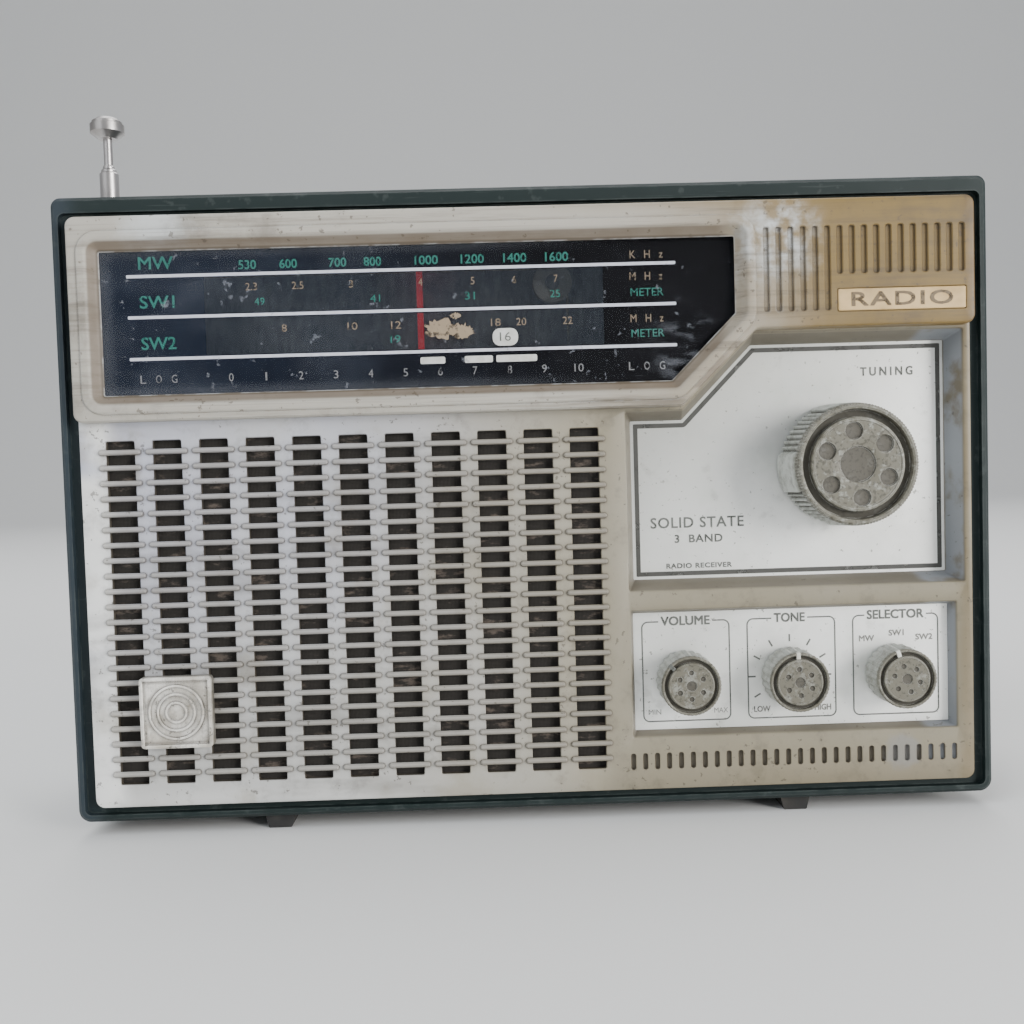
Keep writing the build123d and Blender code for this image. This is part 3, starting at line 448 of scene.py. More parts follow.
@dataclass(frozen=True)
class BezelPlastic(Finish):
    """Warm grey moulding that has yellowed to tan at the right, streaked with dirt."""

    grey: Colour = (0.41, 0.385, 0.335)
    tan: Colour = (0.190, 0.124, 0.036)
    slope: Colour = (0.135, 0.098, 0.064)
    pale: Colour = (0.60, 0.64, 0.66)
    grime: Colour = (0.075, 0.056, 0.036)
    brown: Colour = (0.115, 0.062, 0.012)
    chalk: Colour = (0.47, 0.46, 0.43)

    def paint(self, p: Paint) -> bpy.types.Material:
        """Yellowing follows x; streaks run along the mouldings.

        Args:
            p: The material to build.

        Returns:
            The finished material.
        """
        yellow = (p.x + (p.noise(24, 4.0) - 0.5) * 60.0).rise(8, 112)
        base = p.mix(yellow, self.grey, self.tan)
        edge_yellow = (p.x.rise(136, 146) + p.h.rise(91, 96) * p.x.rise(-40, 90)).least(1.0)
        base = p.mix(edge_yellow * 0.6, base, self.tan)
        base = p.mix(p.x.rise(139, 145) * 0.75, base, self.brown)
        chalky = p.spot(70, 70, 11.0, 20.0) * p.noise(60, 5.0, shift=24).rise(0.25, 0.60)
        base = p.mix(chalky * 0.62, base, self.chalk)
        scuff = p.spot(81, 83, 10.0, 8.0) * p.noise(120, 4.0, shift=3).rise(0.38, 0.62)
        base = p.mix(scuff.least(1.0), base, self.pale)
        fresh = p.spot(-116, 92, 9.0, 6.0) * 0.6
        base = p.mix(fresh, base, self.pale)
        streak = p.noise(50, 6.0, (0.25, 1, 5.5), roughness=0.65, shift=6).rise(0.48, 0.70)
        base = p.mix(streak * 0.58, base, self.grime)
        line = p.noise(95, 5.0, (0.12, 1, 9.0), roughness=0.6, shift=31).rise(0.56, 0.66)
        base = p.mix(line * 0.20, base, self.grime)
        stain = p.noise(34, 6.0, roughness=0.7, shift=15).rise(0.52, 0.72)
        base = p.mix(stain * 0.42, base, self.grime)
        inner = p.d.band(-5.3, -2.2, 0.35) * p.x.fall(61, 67) * (p.noise(70, 4.0, shift=22) * 0.6 + 0.55)
        outer = p.x.rise(-139.5, -137.8) * p.h.band(36.0, 88.0, 0.6)
        base = p.mix(inner.least(1.0) * outer * 0.85, base, self.slope)
        base = p.mix(p.flecks(380, 0.64, 1.7) * 0.6, base, self.grime)
        base = p.mix(p.d.band(-2.75, -1.95, 0.3) * p.x.fall(63, 68) * 0.8, base, self.grime)
        # dirt and painted shade: darker where the surface is enclosed
        corner = p.crevice(2.0).rise(0.08, 0.48)
        base = p.mix(corner * (0.8 - p.x.band(62, 74, 3.0) * 0.55), base, self.grime)
        worn = p.edge(0.6) * p.noise(180, 3.0, shift=1).rise(0.40, 0.6) * p.x.fall(60, 110)
        base = p.mix(worn * 0.4, base, self.pale)
        texture = p.noise(1100, 3.0) + streak * -0.4
        return p.dress(Base_Color=base, Roughness=p.noise(80, 3.0) * 0.3 + 0.36 + corner * 0.2,
                       Normal=p.bump(texture, 0.03, 0.45))


@dataclass(frozen=True)
class PlateMetal(Finish):
    """Pale satin aluminium plate with freckles of corrosion, dirt and painted shade at its borders, and a
    painted shadow by the big knob.
    """

    bright: Colour = (0.95, 0.955, 0.925)
    dull: Colour = (0.53, 0.535, 0.50)
    dirt: Colour = (0.16, 0.155, 0.12)
    green: Colour = (0.45, 0.50, 0.42)
    shade: Colour = (0.34, 0.355, 0.375)

    def paint(self, p: Paint) -> bpy.types.Material:
        """Patchy satin metal.

        Args:
            p: The material to build.

        Returns:
            The finished material.
        """
        patch = p.noise(26, 4.0, shift=2).rise(0.35, 0.70)
        base = p.mix(patch * 0.5, self.bright, self.dull)
        sheen = (p.x * 0.010 - p.h * 0.012).rise(-0.35, 1.35)
        base = p.mix(1.0 - sheen, base, self.dull)
        greenish = p.noise(60, 3.0, shift=8).rise(0.55, 0.75) * 0.25
        base = p.mix(greenish, base, self.green)
        freckles = p.flecks(520, 0.66)
        base = p.mix(freckles * 0.55, base, self.dirt)
        smudge = p.noise(120, 5.0, shift=5).rise(0.60, 0.72)
        base = p.mix(smudge * 0.20, base, self.dirt)
        # painted shadow of the big knob: a soft darker patch up and to the left of it, plus darkening where
        # the plate is enclosed
        handled = (p.crevice(13.0).rise(0.02, 0.50) * 0.45 + p.spot(87, 13, 15.0, 19.0) * 0.36).least(0.8)
        base = p.mix(handled, base, self.shade)
        # dirt and painted shade: patchy darkening where the plate is enclosed, at its borders and holes
        border_dirt_and_shade = p.crevice(2.2).rise(0.10, 0.55) * p.noise(150, 4.0, shift=16).rise(0.30, 0.60)
        base = p.mix(border_dirt_and_shade * 0.6, base, self.dirt)
        brushed = p.noise(300, 2.0, (0.06, 1, 6), shift=1)
        return p.dress(Base_Color=base, Metallic=0.55, Roughness=patch * 0.14 + 0.36 + freckles * 0.3,
                       Normal=p.bump(brushed + freckles * -0.6, 0.02, 0.35))


@dataclass(frozen=True)
class KnobPlastic(Finish):
    """Grey knob plastic with finger grime and painted shade in its ring and recesses."""

    x: float = TUNING_X
    h: float = TUNING_H
    radius: float = BIG_RADIUS
    face_d: float = BIG_FACE
    clean: Colour = (0.53, 0.55, 0.51)
    handled: Colour = (0.125, 0.115, 0.083)
    grime: Colour = (0.036, 0.032, 0.023)
    pit: Colour = (0.062, 0.055, 0.042)
    rubbed: Colour = (0.60, 0.60, 0.55)

    def paint(self, p: Paint) -> bpy.types.Material:
        """The face is darker than the barrel, and the ring and recesses are darkest.

        Args:
            p: The material to build.

        Returns:
            The finished material.
        """
        k = self.radius / BIG_RADIUS
        reach = p.reach(self.x, self.h) / k
        ragged = p.d + (p.noise(200, 2.0) - 0.5) * 2.0 * k
        front = ragged.fall(self.face_d + 2.4 * k, self.face_d + 5.6 * k)
        base = p.mix(front * 0.95, self.clean, self.handled)
        mottled = p.noise(240, 6.0, roughness=0.7, shift=3).rise(0.42, 0.66)
        base = p.mix(mottled * 0.55, base, self.handled)
        pale = p.noise(330, 5.0, roughness=0.7, shift=13).rise(0.52, 0.66) * front
        base = p.mix(pale * 0.38, base, self.clean)
        sunk = ((p.d - self.face_d) / k).rise(0.55, 0.95)
        base = p.mix(sunk * reach.fall(14.6, 15.0) * 0.85, base, self.pit)
        # dirt and painted shade: the deep ring round the disc and every enclosed place are darkest
        ring = reach.band(15.05, 17.45, 0.25) * ((p.d - self.face_d) / k).rise(0.5, 1.6)
        ring_dirt_and_shade = p.crevice(1.5 * k).rise(0.06, 0.42).most(ring)
        base = p.mix(ring_dirt_and_shade * 0.88, base, self.grime)
        flecks = p.flecks(900, 0.56, 4.0) * front
        base = p.mix(flecks * 0.55, base, self.grime)
        rub = p.edge(0.5 * k) * p.noise(260, 3.0, shift=9).rise(0.36, 0.54)
        base = p.mix(rub * 0.6, base, self.rubbed)
        return p.dress(Base_Color=base, Roughness=p.noise(150, 3.0) * 0.22 + 0.38 + ring_dirt_and_shade * 0.25,
                       Normal=p.bump(p.noise(900, 4.0) + flecks * 0.6, 0.09, 0.7))


@dataclass(frozen=True)
class DialFilm(Finish):
    """The printed film of the dial: near-black, bluish at the left, with faint haze."""

    black: Colour = (0.003, 0.003, 0.004)
    navy: Colour = (0.008, 0.0115, 0.021)
    veil: Colour = (0.045, 0.055, 0.075)
    smoke: Colour = (0.034, 0.042, 0.054)
    clear: bool = False

    def paint(self, p: Paint) -> bpy.types.Material:
        """Opaque print, or the smoky clear band that the pointer shows through.

        Args:
            p: The material to build.

        Returns:
            The finished material.
        """
        left = (p.x + (p.noise(20, 3.0) - 0.5) * 60.0).fall(-110, 20)
        base = p.mix(left, self.black, self.navy)
        haze = p.noise(35, 5.0, shift=2).rise(0.40, 0.75)
        base = p.mix(haze * left * 0.40, base, self.veil)
        if not self.clear:
            return p.dress(Base_Color=base, Roughness=haze * 0.2 + 0.5, Specular_IOR_Level=0.06)
        return p.dress(Base_Color=p.mix(0.6, base, self.smoke), Roughness=0.5,
                       Alpha=haze * 0.15 + 0.45, Specular_IOR_Level=0.06)


@dataclass(frozen=True)
class WindowAcrylic(Finish):
    """Clear acrylic under a thin film of dust and fine scratches."""

    dust: Colour = (0.34, 0.36, 0.41)

    def paint(self, p: Paint) -> bpy.types.Material:
        """Nearly transparent where clean; the dust gathers at the left and in the corners.

        Args:
            p: The material to build.

        Returns:
            The finished material.
        """
        left = p.x.fall(-140, 10) * 0.026
        haze = p.noise(30, 6.0, (1, 1, 1.6), roughness=0.65).rise(0.40, 0.72) * (left + 0.007)
        rim = ((p.h.fall(38.5, 43) * 0.05 + p.h.rise(81, 85) * 0.05) * p.x.fall(-30, 40)
               + p.x.fall(-136, -130) * 0.07)
        scratches = p.noise(120, 2.0, (1, 1, 22), shift=5).rise(0.70, 0.74) * 0.08
        chips = p.flecks(300, 0.68) * 0.25
        smear = p.spot(58, 47, 13.0, 9.0) * p.noise(90, 5.0, (1, 1, 3.0), shift=11).rise(0.50, 0.66) * 0.14
        cover = haze + rim + scratches + chips + smear + 0.003
        return p.dress(Base_Color=self.dust, Alpha=cover.least(0.9), Roughness=0.25,
                       Specular_IOR_Level=0.12)


@dataclass(frozen=True)
class Ink(Finish):
    """Screen-printed ink that has worn away in places."""

    colour: Colour = (0.12, 0.125, 0.12)
    worn: float = 0.30
    scale: float = 300.0

    def paint(self, p: Paint) -> bpy.types.Material:
        """Ink whose cover breaks up.

        Args:
            p: The material to build.

        Returns:
            The finished material.
        """
        gone = p.noise(self.scale, 4.0, shift=3).rise(0.52, 0.66) * self.worn
        tone = p.mix(p.noise(500, 2.0) * 0.5, self.colour, tuple(c * 1.6 for c in self.colour))
        return p.dress(Base_Color=tone, Roughness=p.noise(300, 2.0) * 0.2 + 0.4, Alpha=1.0 - gone)


@dataclass(frozen=True)
class Plain(Finish):
    """A simple solid finish with mottling, grain and some grime, for metals and inner parts."""

    colour: Colour = (0.5, 0.5, 0.5)
    second: Colour = (0.3, 0.3, 0.3)
    metal: float = 0.0
    rough: float = 0.45
    spread: float = 0.2
    scale: float = 120.0
    grain: float = 1200.0
    relief: float = 0.03
    stretch: tuple[float, float, float] = (1.0, 1.0, 1.0)
    dirt: float = 0.4
    soil: Colour = (0.09, 0.075, 0.055)
    glow: float = 0.0

    def paint(self, p: Paint) -> bpy.types.Material:
        """Two mottled tones under a little dirt.

        Args:
            p: The material to build.

        Returns:
            The finished material.
        """
        base = p.mix(p.noise(self.scale, 4.0, self.stretch).rise(0.35, 0.68), self.colour, self.second)
        film = p.noise(self.scale * 0.4, 5.0, shift=8).rise(0.5, 0.75) * self.dirt
        base = p.mix(film, base, self.soil)
        rough = p.noise(self.scale * 1.7, 3.0, shift=2) * self.spread + self.rough + film * 0.2
        # painted light: a glow makes the part shine by itself
        lit = {"Emission_Color": base, "Emission_Strength": self.glow} if self.glow else {}
        return p.dress(Base_Color=base, Metallic=self.metal, Roughness=rough,
                       Normal=p.bump(p.noise(self.grain, 3.0, self.stretch), self.relief, 0.5), **lit)


@dataclass(frozen=True)
class TarnishedMetal(Finish):
    """Plated emblem metal gone dull, with dirt and painted shade along its rim and in its rings."""

    plated: Colour = (0.90, 0.87, 0.81)
    dull: Colour = (0.52, 0.475, 0.40)
    dirt: Colour = (0.050, 0.042, 0.032)
    rubbed: Colour = (0.72, 0.71, 0.68)

    def paint(self, p: Paint) -> bpy.types.Material:
        """Brushed metal under tarnish, and crevice dirt with painted shade.

        Args:
            p: The material to build.

        Returns:
            The finished material.
        """
        base = p.mix(p.noise(90, 5.0, shift=2).rise(0.36, 0.64), self.plated, self.dull)
        brushed = p.noise(420, 3.0, (4, 1, 0.3), shift=1)
        base = p.mix(brushed.rise(0.45, 0.7) * 0.35, base, self.dull)
        grubby = p.noise(210, 6.0, roughness=0.7, shift=6).rise(0.46, 0.68)
        base = p.mix(grubby * 0.4, base, self.dirt)
        # dirt and painted shade: darker where the tray is enclosed, along its rim and in its rings
        corner = p.crevice(1.3).rise(0.03, 0.26)
        base = p.mix(corner * 0.95, base, self.dirt)
        base = p.mix(p.flecks(500, 0.63) * 0.6, base, self.dirt)
        base = p.mix(p.d.rise(-3.9, -2.6) * 0.7, base, self.dirt)
        rub = p.edge(0.5) * p.noise(200, 3.0, shift=9).rise(0.38, 0.55)
        base = p.mix(rub * 0.7, base, self.rubbed)
        return p.dress(Base_Color=base, Metallic=0.35, Roughness=brushed * 0.2 + 0.32 + corner * 0.3,
                       Normal=p.bump(brushed, 0.04, 0.6))


@dataclass(frozen=True)
class Cloth(Finish):
    """Dusty woven grille cloth."""

    thread: Colour = (0.033, 0.029, 0.025)
    gap: Colour = (0.006, 0.005, 0.0045)
    lint: Colour = (0.16, 0.128, 0.105)
    rate: float = 7.0

    def paint(self, p: Paint) -> bpy.types.Material:
        """A plain weave with dust and fluff caught in it.

        Args:
            p: The material to build.

        Returns:
            The finished material.
        """
        warp = abs(p.math("SINE", p.x * self.rate))
        weft = abs(p.math("SINE", p.h * self.rate))
        weave = warp * 0.5 + weft * 0.5
        base = p.mix(weave, self.gap, self.thread)
        fluff = p.noise(150, 6.0, (0.6, 1, 1.8), roughness=0.7, shift=4).rise(0.55, 0.68)
        base = p.mix(fluff * 0.7, base, self.lint)
        return p.dress(Base_Color=base, Roughness=0.9, Normal=p.bump(weave, 0.12, 0.8))


CASE = CasePlastic("slate_case_plastic")
PANEL = PanelPaint("silver_panel_paint")
BEZEL = BezelPlastic("yellowed_bezel_plastic")
PLATE = PlateMetal("satin_plate_aluminium")
KNOB_BIG = KnobPlastic("tuning_knob_plastic")
KNOB_SMALL = {body: KnobPlastic(f"{body.value}_knob_plastic", x, CONTROL_H, SMALL_RADIUS, SMALL_FACE,
                                (0.40, 0.41, 0.375))
              for body, x in ((Body.VOLUME, VOLUME_X), (Body.TONE, TONE_X), (Body.SELECTOR, SELECTOR_X))}
FILM = DialFilm("dial_film_black")
FILM_CLEAR = DialFilm("dial_film_clear", clear=True)
ACRYLIC = WindowAcrylic("dusty_acrylic")
DARK_INK = Ink("worn_dark_ink", colour=(0.10, 0.105, 0.095), worn=0.45)
FAINT_INK = Ink("faded_dark_ink", colour=(0.17, 0.17, 0.155), worn=0.62)
BADGE_INK = Ink("badge_letter_ink", colour=(0.135, 0.095, 0.05), worn=0.75, scale=360.0)
BORDER_INK = Ink("border_line_ink", colour=(0.055, 0.055, 0.05), worn=0.5, scale=160.0)
LINE_WHITE = Ink("dial_line_white", colour=(0.50, 0.51, 0.57), worn=0.08)
DIAL_GREEN = Ink("dial_green_ink", colour=(0.009, 0.115, 0.092), worn=0.45, scale=420.0)
DIAL_CREAM = Ink("dial_cream_ink", colour=(0.165, 0.125, 0.085), worn=0.60, scale=420.0)
DIAL_PALE = Ink("dial_pale_ink", colour=(0.15, 0.15, 0.155), worn=0.60, scale=420.0)
BADGE_CREAM = Plain("cream_badge_plastic", colour=(0.66, 0.46, 0.215), second=(0.50, 0.33, 0.14),
                    rough=0.4, dirt=0.35)
EMBLEM = TarnishedMetal("tarnished_emblem")
# the red pointer is given a painted glow
POINTER_RED = Plain("pointer_red_plastic", colour=(0.95, 0.045, 0.055), second=(0.80, 0.03, 0.04),
                    rough=0.4, dirt=0.1, glow=0.55)
STEEL = Plain("zinc_steel", colour=(0.50, 0.50, 0.50), second=(0.36, 0.36, 0.37), metal=0.9,
              rough=0.34, stretch=(4.0, 1.0, 1.0))
BRASS = Plain("turned_brass", colour=(0.62, 0.44, 0.17), second=(0.45, 0.30, 0.11), metal=1.0, rough=0.3)
CHROME = Plain("worn_chrome", colour=(0.60, 0.585, 0.58), second=(0.40, 0.375, 0.36), metal=1.0,
               rough=0.24, spread=0.2, stretch=(1.0, 1.0, 0.15), dirt=0.35, relief=0.01)
RUBBER = Plain("dull_rubber", colour=(0.022, 0.022, 0.022), second=(0.045, 0.043, 0.04), rough=0.75)
NYLON = Plain("natural_nylon", colour=(0.62, 0.60, 0.53), second=(0.52, 0.49, 0.42), rough=0.4)
CORD = Plain("waxed_dial_cord", colour=(0.55, 0.50, 0.38), second=(0.38, 0.33, 0.24), rough=0.7,
             scale=900.0)
PHENOLIC = Plain("phenolic_board", colour=(0.33, 0.17, 0.055), second=(0.25, 0.12, 0.04), rough=0.5)
CAN = Plain("drawn_can", colour=(0.58, 0.58, 0.58), second=(0.44, 0.44, 0.45), metal=0.85, rough=0.32)
EPOXY = Plain("black_epoxy", colour=(0.02, 0.02, 0.02), second=(0.035, 0.034, 0.033), rough=0.5)
SLEEVE = Plain("blue_sleeve", colour=(0.03, 0.09, 0.28), second=(0.02, 0.06, 0.2), rough=0.35)
IRON = Plain("laminated_iron", colour=(0.10, 0.09, 0.085), second=(0.16, 0.11, 0.08), metal=0.6,
             rough=0.6, stretch=(1.0, 12.0, 1.0))
FERRITE = Plain("fired_ferrite", colour=(0.045, 0.045, 0.05), second=(0.07, 0.07, 0.07), rough=0.55)
WAX = Plain("waxed_winding", colour=(0.42, 0.20, 0.06), second=(0.30, 0.13, 0.035), rough=0.5,
            stretch=(20.0, 1.0, 1.0))
CONE_PAPER = Plain("cone_paper", colour=(0.03, 0.028, 0.026), second=(0.05, 0.045, 0.04), rough=0.9)
INNER = Plain("inner_plastic", colour=(0.03, 0.03, 0.032), second=(0.05, 0.05, 0.05), rough=0.5)
STICKER = Plain("paper_sticker", colour=(0.62, 0.62, 0.60), second=(0.52, 0.52, 0.48), rough=0.7,
                scale=400.0, dirt=0.15)
LABEL_PAPER = Plain("yellowed_label_paper", colour=(0.50, 0.44, 0.31), second=(0.40, 0.33, 0.21),
                    rough=0.75, scale=60.0, dirt=0.45)
RESIDUE = Ink("paper_residue", colour=(0.24, 0.185, 0.125), worn=0.85, scale=420.0)
BARREL_WHITE = Plain("pale_mark", colour=(0.72, 0.72, 0.66), second=(0.55, 0.54, 0.48), rough=0.5,
                     dirt=0.3)
CLOTH = Cloth("grille_cloth_weave")


# ------------------------------------------------------------------------------ shape tools
@dataclass(frozen=True)
class Outline:
    """A closed outline of straight sides and rounded corners, listed counter-clockwise."""

    corners: tuple[Point, ...]
    radius: float = 0.0
    steps: int = 4
    mitred: bool = False

    def loop(self, inset: float = 0.0) -> list[Point]:
        """The outline's points.

        Args:
            inset: How far the outline shrinks inward; a negative inset grows it.

        Returns:
            The points, with the same count for every inset.
        """
        count = len(self.corners)
        ways = []
        for k in range(count):
            a, b = Vector(self.corners[k]), Vector(self.corners[(k + 1) % count])
            ways.append((b - a).normalized())
        points = []
        for k, corner in enumerate(self.corners):
            before, after = ways[k - 1], ways[k]
            side_a, side_b = Vector((-before.y, before.x)), Vector((-after.y, after.x))
            tip = Vector(corner) + (side_a + side_b) * (inset / (1.0 + side_a.dot(side_b)))
            turn = before.cross(after)
            bulge = 1.0 if turn > 0 else -1.0
            r = self.radius if self.mitred else max(self.radius - bulge * inset, 0.02)
            angle = before.angle(after)
            start = tip - before * r * math.tan(angle / 2)
            centre = start + side_a * r * bulge
            for step in range(self.steps + 1):
                spin = Matrix.Rotation(bulge * angle * step / self.steps, 2)
                points.append(tuple(centre + spin @ (start - centre)))
        return points

    @staticmethod
    def box(x0: float, x1: float, h0: float, h1: float, radius: float = 0.0, steps: int = 4) -> "Outline":
        """A rectangle between two corners."""
        return Outline(((x0, h0), (x1, h0), (x1, h1), (x0, h1)), radius, steps)


def circle(x: float, h: float, r: float, steps: int = 40) -> list[Point]:
    """The points of a circle."""
    turn = 2 * math.pi / steps
    return [(x + r * math.cos(turn * k), h + r * math.sin(turn * k)) for k in range(steps)]


@dataclass
class Ring:
    """A closed string of vertices and the edges that join them."""

    verts: list[bmesh.types.BMVert]
    edges: list[bmesh.types.BMEdge]


class Shaper:
    """A bmesh under construction, in face coordinates and millimetres."""

    def __init__(self) -> None:
        """Start with nothing."""
        self.bm = bmesh.new()

    def ring(self, points: Iterable[Point], d: float) -> Ring:
        """Lay a closed ring of points at one depth.

        Args:
            points: The (x, h) corners.
            d: The depth.

        Returns:
            The ring.
        """
        verts = [self.bm.verts.new((x, d, h)) for x, h in points]
        edges = [self.bm.edges.new((a, b)) for a, b in zip(verts, verts[1:] + verts[:1])]
        return Ring(verts, edges)

    def wall(self, rings: Sequence[Ring]) -> None:
        """Join rings in order with a band of faces between each two."""
        for a, b in zip(rings, rings[1:]):
            bmesh.ops.bridge_loops(self.bm, edges=a.edges + b.edges)

    def fill(self, *rings: Ring) -> None:
        """Fill a flat region bounded by one outer ring and any number of holes."""
        edges = [edge for ring in rings for edge in ring.edges]
        bmesh.ops.triangle_fill(self.bm, use_beauty=True, use_dissolve=False, edges=edges)

    def cap(self, ring: Ring) -> None:
        """Close a ring with one face."""
        bmesh.ops.contextual_create(self.bm, geom=ring.verts)

    def profile(self, outline: Outline, steps: Sequence[Point], caps: bool = True) -> list[Ring]:
        """Sweep a cross-section round an outline.

        Args:
            outline: The outline to follow.
            steps: (inset, depth) pairs, from one end of the section to the other.
            caps: Whether the first and last rings are closed with flat faces.

        Returns:
            The rings, in order.
        """
        rings = [self.ring(outline.loop(inset), d) for inset, d in steps]
        self.wall(rings)
        if caps:
            self.fill(rings[0])
            self.fill(rings[-1])
        return rings

    def lathe(self, section: Sequence[Point], x: float, h: float, steps: int = 64) -> list:
        """Turn a section of (radius, depth) points about a line along the depth.

        Args:
            section: The section, from one end to the other.
            x: The line's place across.
            h: The line's height.
            steps: Steps in a full turn.

        Returns:
            The new vertices.
        """
        verts = [self.bm.verts.new((x + r, d, h)) for r, d in section]
        edges = [self.bm.edges.new(pair) for pair in zip(verts, verts[1:])]
        before = set(self.bm.verts) - set(verts)
        bmesh.ops.spin(self.bm, geom=verts + edges, cent=(x, 0, h), axis=(0, 1, 0),
                       angle=2 * math.pi, steps=steps, use_merge=True)
        made = [v for v in self.bm.verts if v not in before]
        bmesh.ops.remove_doubles(self.bm, verts=made, dist=LATHE_WELD)
        return [v for v in self.bm.verts if v not in before]

    def block(self, x0: float, x1: float, d0: float, d1: float, h0: float, h1: float,
              soft: float = 0.0) -> list:
        """A block between two corners, with its edges rounded by soft.

        Args:
            x0: Left side.
            x1: Right side.
            d0: Front.
            d1: Back.
            h0: Bottom.
            h1: Top.
            soft: Radius of the edges.

        Returns:
            The new vertices.
        """
        size = Matrix.Diagonal((x1 - x0, d1 - d0, h1 - h0, 1.0))
        place = Matrix.Translation(((x0 + x1) / 2, (d0 + d1) / 2, (h0 + h1) / 2))
        made = bmesh.ops.create_cube(self.bm, size=1.0, matrix=place @ size)["verts"]
        if soft:
            edges = list({edge for v in made for edge in v.link_edges})
            bmesh.ops.bevel(self.bm, geom=edges, offset=soft, segments=2, profile=0.5,
                            affect="EDGES", material=-1)
        return made

    def turn(self, verts: list, matrix: Matrix) -> None:
        """Move some vertices."""
        bmesh.ops.transform(self.bm, matrix=matrix, verts=verts)

    def stroke(self, outline: Outline, d: float, width: float) -> None:
        """A closed printed line of one width along an outline.

        Args:
            outline: The outer side of the line.
            d: Depth of the surface that it is printed on.
            width: How wide the line is.
        """
        outer = self.profile(outline, [(0, d), (0, d - INK_T)], False)
        inner = self.profile(outline, [(width, d), (width, d - INK_T)], False)
        self.fill(outer[0], inner[0])
        self.fill(outer[1], inner[1])

    def solid(self, points: list[Point], base: float, face: float) -> None:
        """A flat-ended solid between two depths.

        Args:
            points: The outline.
            base: Depth of the back.
            face: Depth of the front.
        """
        low, high = self.ring(points, base), self.ring(points, face)
        self.wall([low, high])
        self.fill(low)
        self.fill(high)

    def text(self, words: str, x0: float, x1: float, h0: float, h1: float, d: float,
             bold: float = 0.0, spacing: float = 1.0) -> None:
        """Raised lettering that fills a box on the front.

        Args:
            words: The generic words or numbers.
            x0: Left side.
            x1: Right side.
            h0: Baseline.
            h1: Top of the capitals.
            d: Depth of the surface that it is printed on.
            bold: How far the strokes are thickened each way.
            spacing: Letter spacing.
        """
        curve = bpy.data.curves.new("lettering", "FONT")
        curve.body = words
        curve.extrude = 0.5
        curve.space_character = spacing
        curve.resolution_u = 3
        holder = bpy.data.objects.new("lettering", curve)
        bpy.context.scene.collection.objects.link(holder)
        bpy.context.view_layer.update()
        mesh = bpy.data.meshes.new_from_object(holder.evaluated_get(bpy.context.evaluated_depsgraph_get()))
        bpy.data.objects.remove(holder)
        bpy.data.curves.remove(curve)
        xs = [v.co.x for v in mesh.vertices]
        ys = [v.co.y for v in mesh.vertices]
        fit = Matrix.Diagonal(((x1 - x0) / (max(xs) - min(xs)), (h1 - h0) / (max(ys) - min(ys)), INK_T, 1))
        upright = Matrix.Rotation(math.pi / 2, 4, "X")
        centre = Matrix.Translation((-(max(xs) + min(xs)) / 2, -(max(ys) + min(ys)) / 2, 0))
        place = Matrix.Translation(((x0 + x1) / 2, d - INK_T / 2, (h0 + h1) / 2))
        mesh.transform(place @ upright @ fit @ centre)
        shifts = ((-bold, -bold), (bold, -bold), (bold, bold), (-bold, bold))[:4 if bold else 1]
        for k, (dx, dh) in enumerate(shifts):
            shift = Matrix.Translation((dx, -BOLD_STEP * k, dh))
            mesh.transform(shift)
            self.bm.from_mesh(mesh)
            mesh.transform(shift.inverted())
        bpy.data.meshes.remove(mesh)

    def finish(self, name: str, finish: Finish, body: Body, slot: Slot, replaced: Sequence[str] = (),
               sharp: float = 32.0) -> None:
        """Turn the bmesh into a finished piece.

        Args:
            name: The piece's name.
            finish: Its finish.
            body: The body that it rides on.
            slot: A material slot; not used.
            replaced: The CAD nodes that it stands for.
            sharp: Edges that turn more than this, in degrees, stay crisp.
        """
        bmesh.ops.remove_doubles(self.bm, verts=self.bm.verts, dist=WELD)
        bmesh.ops.recalc_face_normals(self.bm, faces=self.bm.faces)
        for face in self.bm.faces:
            face.smooth = True
        limit = math.radians(sharp)
        for edge in self.bm.edges:
            edge.smooth = edge.is_manifold and edge.calc_face_angle(0.0) < limit
        bmesh.ops.transform(self.bm, matrix=TO_ROW, verts=self.bm.verts)
        mesh = bpy.data.meshes.new(name)
        self.bm.to_mesh(mesh)
        self.bm.free()
        mesh.materials.append(finish.material())
        piece = bpy.data.objects.new(name, mesh)
        bpy.context.scene.collection.objects.link(piece)
        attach(piece, body.value)
        if replaced:
            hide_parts(*replaced)
        LOG.info("%s: %d faces on %s", name, len(mesh.polygons), body.value)


